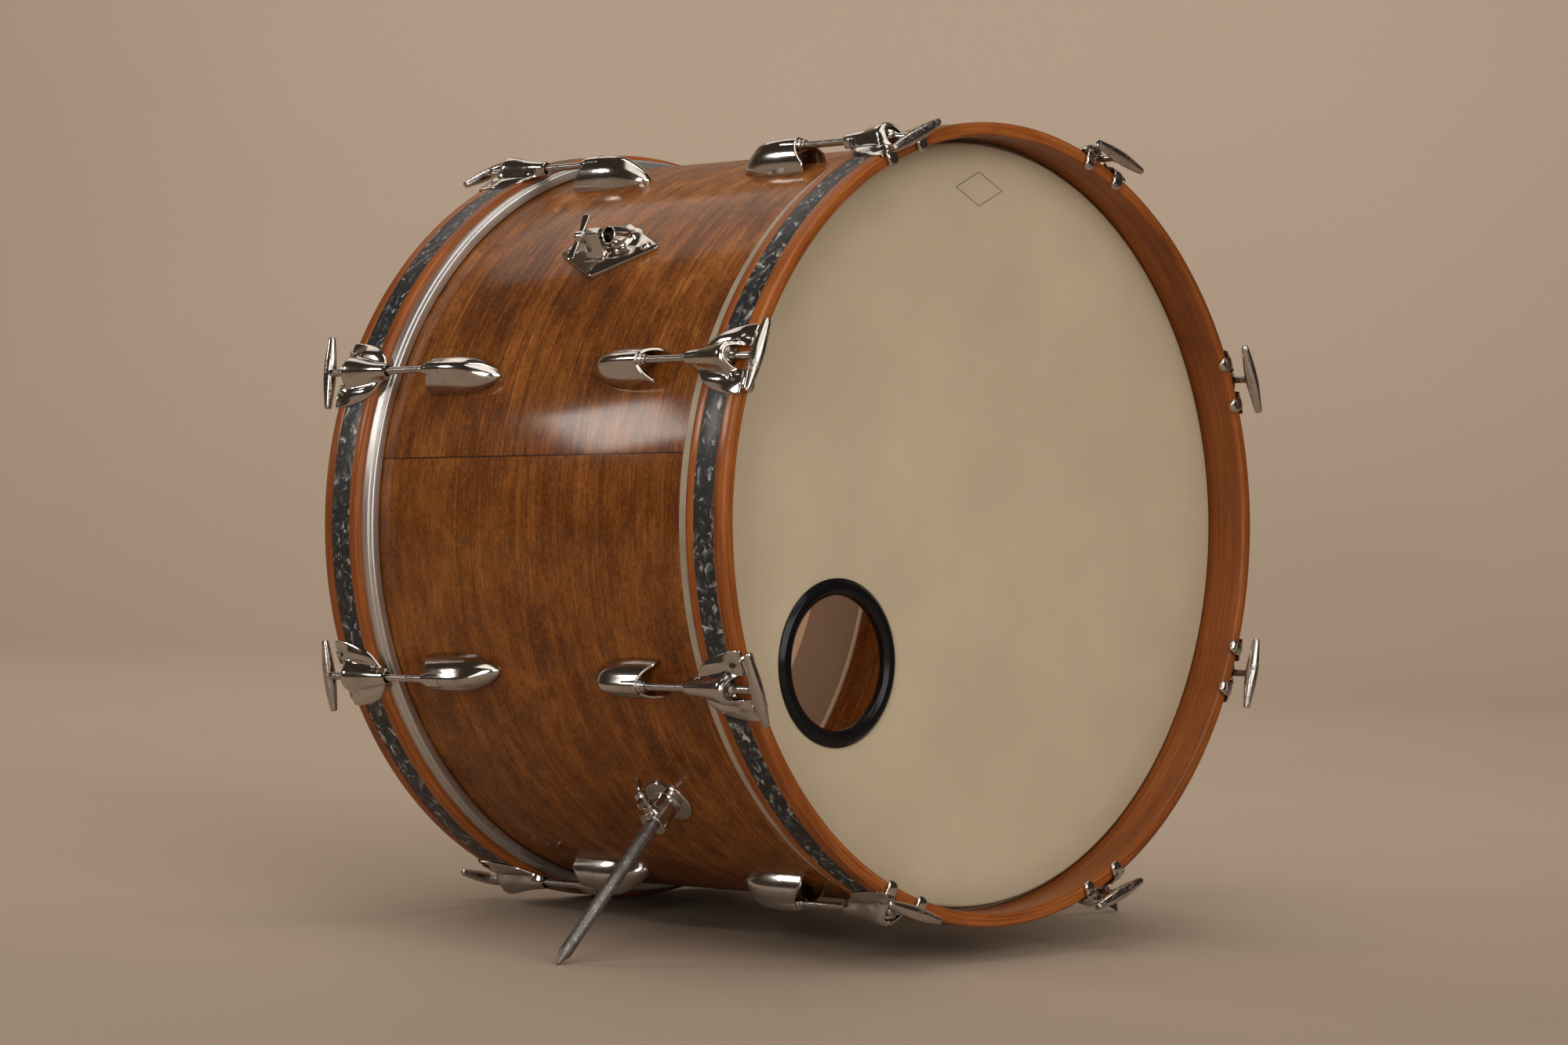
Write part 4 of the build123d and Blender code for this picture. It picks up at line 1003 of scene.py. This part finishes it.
def tom_form():
    form = Form()
    top = TOM_PLATE_TOP
    corners = [(52.3, 0), (0, 29.3), (-52.3, 0), (0, -29.3)]
    outline = []
    for i, corner in enumerate(corners):
        here = Vector(corner)
        before, after = Vector(corners[i - 1]), Vector(corners[(i + 1) % 4])
        reach = 5.0 if i % 2 == 0 else 4.0
        a, b = here + (before - here).normalized() * reach, here + (after - here).normalized() * reach
        for k in range(7):
            t = k / 6
            outline.append((1 - t) ** 2 * a + 2 * t * (1 - t) * here + t * t * b)
        for k in range(1, 8):
            far = after + (here - after).normalized() * (4.0 if i % 2 == 0 else 5.0)
            outline.append(b.lerp(far, k / 8))
    rings = []
    for scale, z in ((1.0, None), (1.0, top - 1.0), (0.993, top - 0.35), (0.975, top)):
        row = []
        for p in outline:
            q = p * scale
            level = math.sqrt(SHELL_R**2 - q.y**2) + 0.03 if z is None else z
            row.append((q.x, q.y, level))
        rings.append(row)
    rings.append([(p.x * 0.1, p.y * 0.1, top) for p in outline])
    form.rows(rings, wrap=True)
    form.cap(rings[-1])

    # Horn-like foot that rises into the tube for the arm.
    mouth = Vector((11.4, -1.5, 297.0))
    around = 48
    foot = []
    for k in range(around):
        a = 2 * math.pi * k / around
        c, s = math.cos(a), math.sin(a)
        x = 11.6 + c * (16.0 if c > 0 else 9.0)
        y = 5.0 + s * (17.0 if s > 0 else 14.0)
        foot.append(Vector((x, y, top)))
    rows = [foot]
    for t in (0.04, 0.1, 0.2, 0.32, 0.46, 0.62, 0.8, 1.0):
        row = []
        pull = 1 - (1 - t) ** 3.2
        for k in range(around):
            a = 2 * math.pi * k / around
            neck = Vector((11.6 + 7.4 * math.cos(a), 6.4 + 8.6 * math.sin(a), top + 6.0))
            q = foot[k].lerp(neck, pull)
            q.z = top + 6.0 * t**1.25
            row.append(q)
        rows.append(row)
    form.rows(rows, wrap=True)
    # Tube for the arm: its mouth looks level out of the drum's side.
    place = Matrix.Translation(mouth) @ Matrix.Rotation(math.radians(45), 4, "X")
    boss = rounded(
        [
            (0, -17.5, 0),
            (5.35, -17.5, 0),
            (5.35, 0.0, 0.5),
            (6.3, 0.8, 0.5),
            (7.1, 0.2, 0.6),
            (7.2, -3.0, 0.5),
            (7.4, -8.0, 2.0),
            (7.2, -13.0, 3.0),
            (6.0, -18.5, 2.0),
            (0, -20.0, 0),
        ],
        5,
    )
    form.lathe(boss, place, 40)

    # Tapered block that carries the wing bolt.
    block = []
    for z, x0, x1, y0, y1 in (
        (top - 0.1, -16.5, 4.0, -13.5, 11.0),
        (top + 1.0, -16.0, 3.5, -12.8, 10.0),
        (top + 1.6, -15.0, 3.0, -10.2, 9.0),
        (top + 6.0, -13.0, 3.0, -8.2, 7.2),
        (top + 11.0, -11.8, 3.0, -6.0, 5.2),
        (top + 17.0, -10.6, 3.0, -4.0, 3.8),
        (top + 18.4, -9.6, 3.0, -2.6, 2.6),
    ):
        start = (x0 + (x1 - x0) / 2, y0, 0)
        corners = [start, (x1, y0, 1.3), (x1, y1, 1.3), (x0, y1, 1.3), (x0, y0, 1.3), start]
        block.append([(x, y, z) for x, y in rounded(corners, 3)[:-1]])
    form.rows(block, wrap=True)
    form.cap(block[-1])
    # Rings between the block and the boss.
    collar = [(3.2, 9.0, 0), (4.6, 9.2, 0.4), (4.6, 10.2, 0.4), (3.9, 10.6, 0.2)]
    collar = rounded([*collar, (3.9, 12.2, 0.2), (5.1, 12.6, 0.4), (5.1, 14.2, 0.5), (3.1, 14.4, 0)])
    bolt_axis = Matrix.Translation((0, -0.5, 296.0)) @ Matrix.Rotation(math.radians(-90), 4, "Y")
    form.lathe(collar, bolt_axis @ Matrix.Translation((0, 0, 0.6)), 32)
    return form


tom_seat = seat_frame(TOM_ANGLE, TOM_FORWARD)
make("tom_mount_casting", tom_form(), tom_seat, "drum", CHROME, ["tom_mount_bracket"], angle=40)
screw_line = rounded([(4.5, 282.5, 0), (4.5, 283.2, 0.4), (3.6, 285.0, 1.4), (0, 285.5, 0)], 6)
for k, x in enumerate((38.5, -38.5)):
    screw = Form().lathe(screw_line, segments=36)
    place = tom_seat @ Matrix.Translation((x, 0, 0))
    make(f"tom_mount_screw_{k + 1}", screw, place, "drum", CHROME, ["tom_mount_screws"])
bolt = tom_seat @ Matrix.Translation((-15.5, -0.5, 296.0)) @ Matrix.Rotation(math.radians(-90), 4, "Y")
bolt = bolt @ Matrix.Rotation(math.radians(73), 4, "Z")
make("tom_mount_wing", wing_form(19.3, 0.9), bolt, "tom_mount_wing_bolt", CHROME, ["tom_mount_wing_bolt"])

# ---- CAD nodes that stay

KEPT = {STEEL: ["tom_mount_nuts"], CHROME: ["vent_grommet"]}
KEPT[STEEL] += [f"{end}_lug_{part}" for end in ENDS for part in ("screws", "washers")]
for side in ("left", "right"):
    KEPT[STEEL] += [f"{side}_spur_lock_nut", f"{side}_spur_retaining_ring"]
for material, nodes in KEPT.items():
    for node in nodes:
        mesh = frame["nodes"][node].data
        mesh.materials.clear()
        mesh.materials.append(material)

# ---- Floor, backdrop, light and camera


def stage_material(name, colour, rough):
    m = Nodes(name, Roughness=rough)
    here = m.add("TexCoord", {}, out=3)
    cloud = m.noise(here, 0.8, 3, 0.5)
    grain = m.noise(here, 240, 3, 0.6)
    tone = m.mix(m.spread(cloud, 0.35, 0.65), colour, tuple(c * 0.93 for c in colour))
    m.set(Base_Color=m.mix(m.spread(grain, 0.4, 0.7, 0.0, 0.12), tone, tuple(c * 0.7 for c in colour)))
    return m.material


CAMERA_AT = Vector((-2.3039, -2.1906, 0.4194))
AHEAD = Vector((0.72207, 0.69089, -0.03574)).normalized()
RIGHT = Vector((0.69180, -0.72069, 0.04495))
RIGHT = (RIGHT - AHEAD * RIGHT.dot(AHEAD)).normalized()
UP = RIGHT.cross(AHEAD)

# A paper sweep: level floor, then a quarter round up to a wall, in the camera's direction.
FLOOR_END, WALL_AT, BEND = 2600, 4000, 1400
sweep = Form()
level = Vector((AHEAD.x, AHEAD.y, 0)).normalized()
across = Vector((-level.y, level.x, 0))
outline = [(-7000, 0), (-3000, 0), (0, 0), (1500, 0), (FLOOR_END, 0)]
for k in range(1, 13):
    a = math.pi / 2 * k / 12
    outline.append((FLOOR_END + BEND * math.sin(a), BEND - BEND * math.cos(a)))
outline += [(WALL_AT, 2500), (WALL_AT, 5000)]
widths = range(-6000, 6001, 1000)
sweep.rows([[level * d + across * w + Vector((0, 0, h)) for w in widths] for d, h in outline])
mesh = bpy.data.meshes.new("sweep")
mesh.from_pydata([p * 0.001 for p in sweep.points], [], sweep.faces)
mesh.shade_smooth()
floor = bpy.data.objects.new("sweep", mesh)
bpy.context.scene.collection.objects.link(floor)
mesh.materials.append(stage_material("paper", (0.43, 0.342, 0.264), 0.7))

world = bpy.data.worlds.new("studio")
bpy.context.scene.world = world
world.use_nodes = True
world.node_tree.nodes["Background"].inputs["Color"].default_value = (0.05, 0.037, 0.028, 1)
world.node_tree.nodes["Background"].inputs["Strength"].default_value = 1.0


def softbox(name, at, aim, width, height, power, colour=(1.0, 0.94, 0.88)):
    light = bpy.data.lights.new(name, "AREA")
    light.shape = "RECTANGLE"
    light.size, light.size_y = width, height
    light.energy = power
    light.color = colour
    obj = bpy.data.objects.new(name, light)
    bpy.context.scene.collection.objects.link(obj)
    obj.location = at
    obj.rotation_mode = "QUATERNION"
    obj.rotation_quaternion = (Vector(aim) - Vector(at)).to_track_quat("-Z", "Z")
    return obj


CENTRE = (0, 0, 0.3)
softbox("overhead", (-1.2, -1.2, 3.2), (0, -0.3, 0.2), 3.0, 3.0, 48)
softbox("side_window", (-3.1, 2.95, 1.8), CENTRE, 0.75, 0.6, 27)
softbox("front_fill", (-0.9, -4.4, 2.2), CENTRE, 4.4, 2.6, 108)
softbox("left_fill", (-3.7, -1.7, 0.5), (0, 0, 0.2), 2.6, 0.9, 60)
softbox("rear_fill", (0.5, 2.6, 2.9), CENTRE, 1.6, 1.2, 7)
softbox("backdrop_light", (0.6, 0.2, 3.4), (3.4, 3.7, 1.8), 2.5, 1.0, 104)
# Stands for the daylight that comes in through the front head.
softbox("head_glow", (0, -0.165, 0.31), (0, 0.17, 0.29), 0.4, 0.4, 1.0, (1.0, 0.86, 0.72))

camera = bpy.data.objects.new("camera", bpy.data.cameras.new("camera"))
bpy.context.scene.collection.objects.link(camera)
camera.matrix_world = axes(RIGHT, UP, -AHEAD, CAMERA_AT)
camera.data.sensor_width = 36.0
camera.data.lens = 96.0
camera.data.clip_start = 0.05
camera.data.clip_end = 60.0
bpy.context.scene.camera = camera
bpy.context.scene.view_settings.view_transform = "Standard"
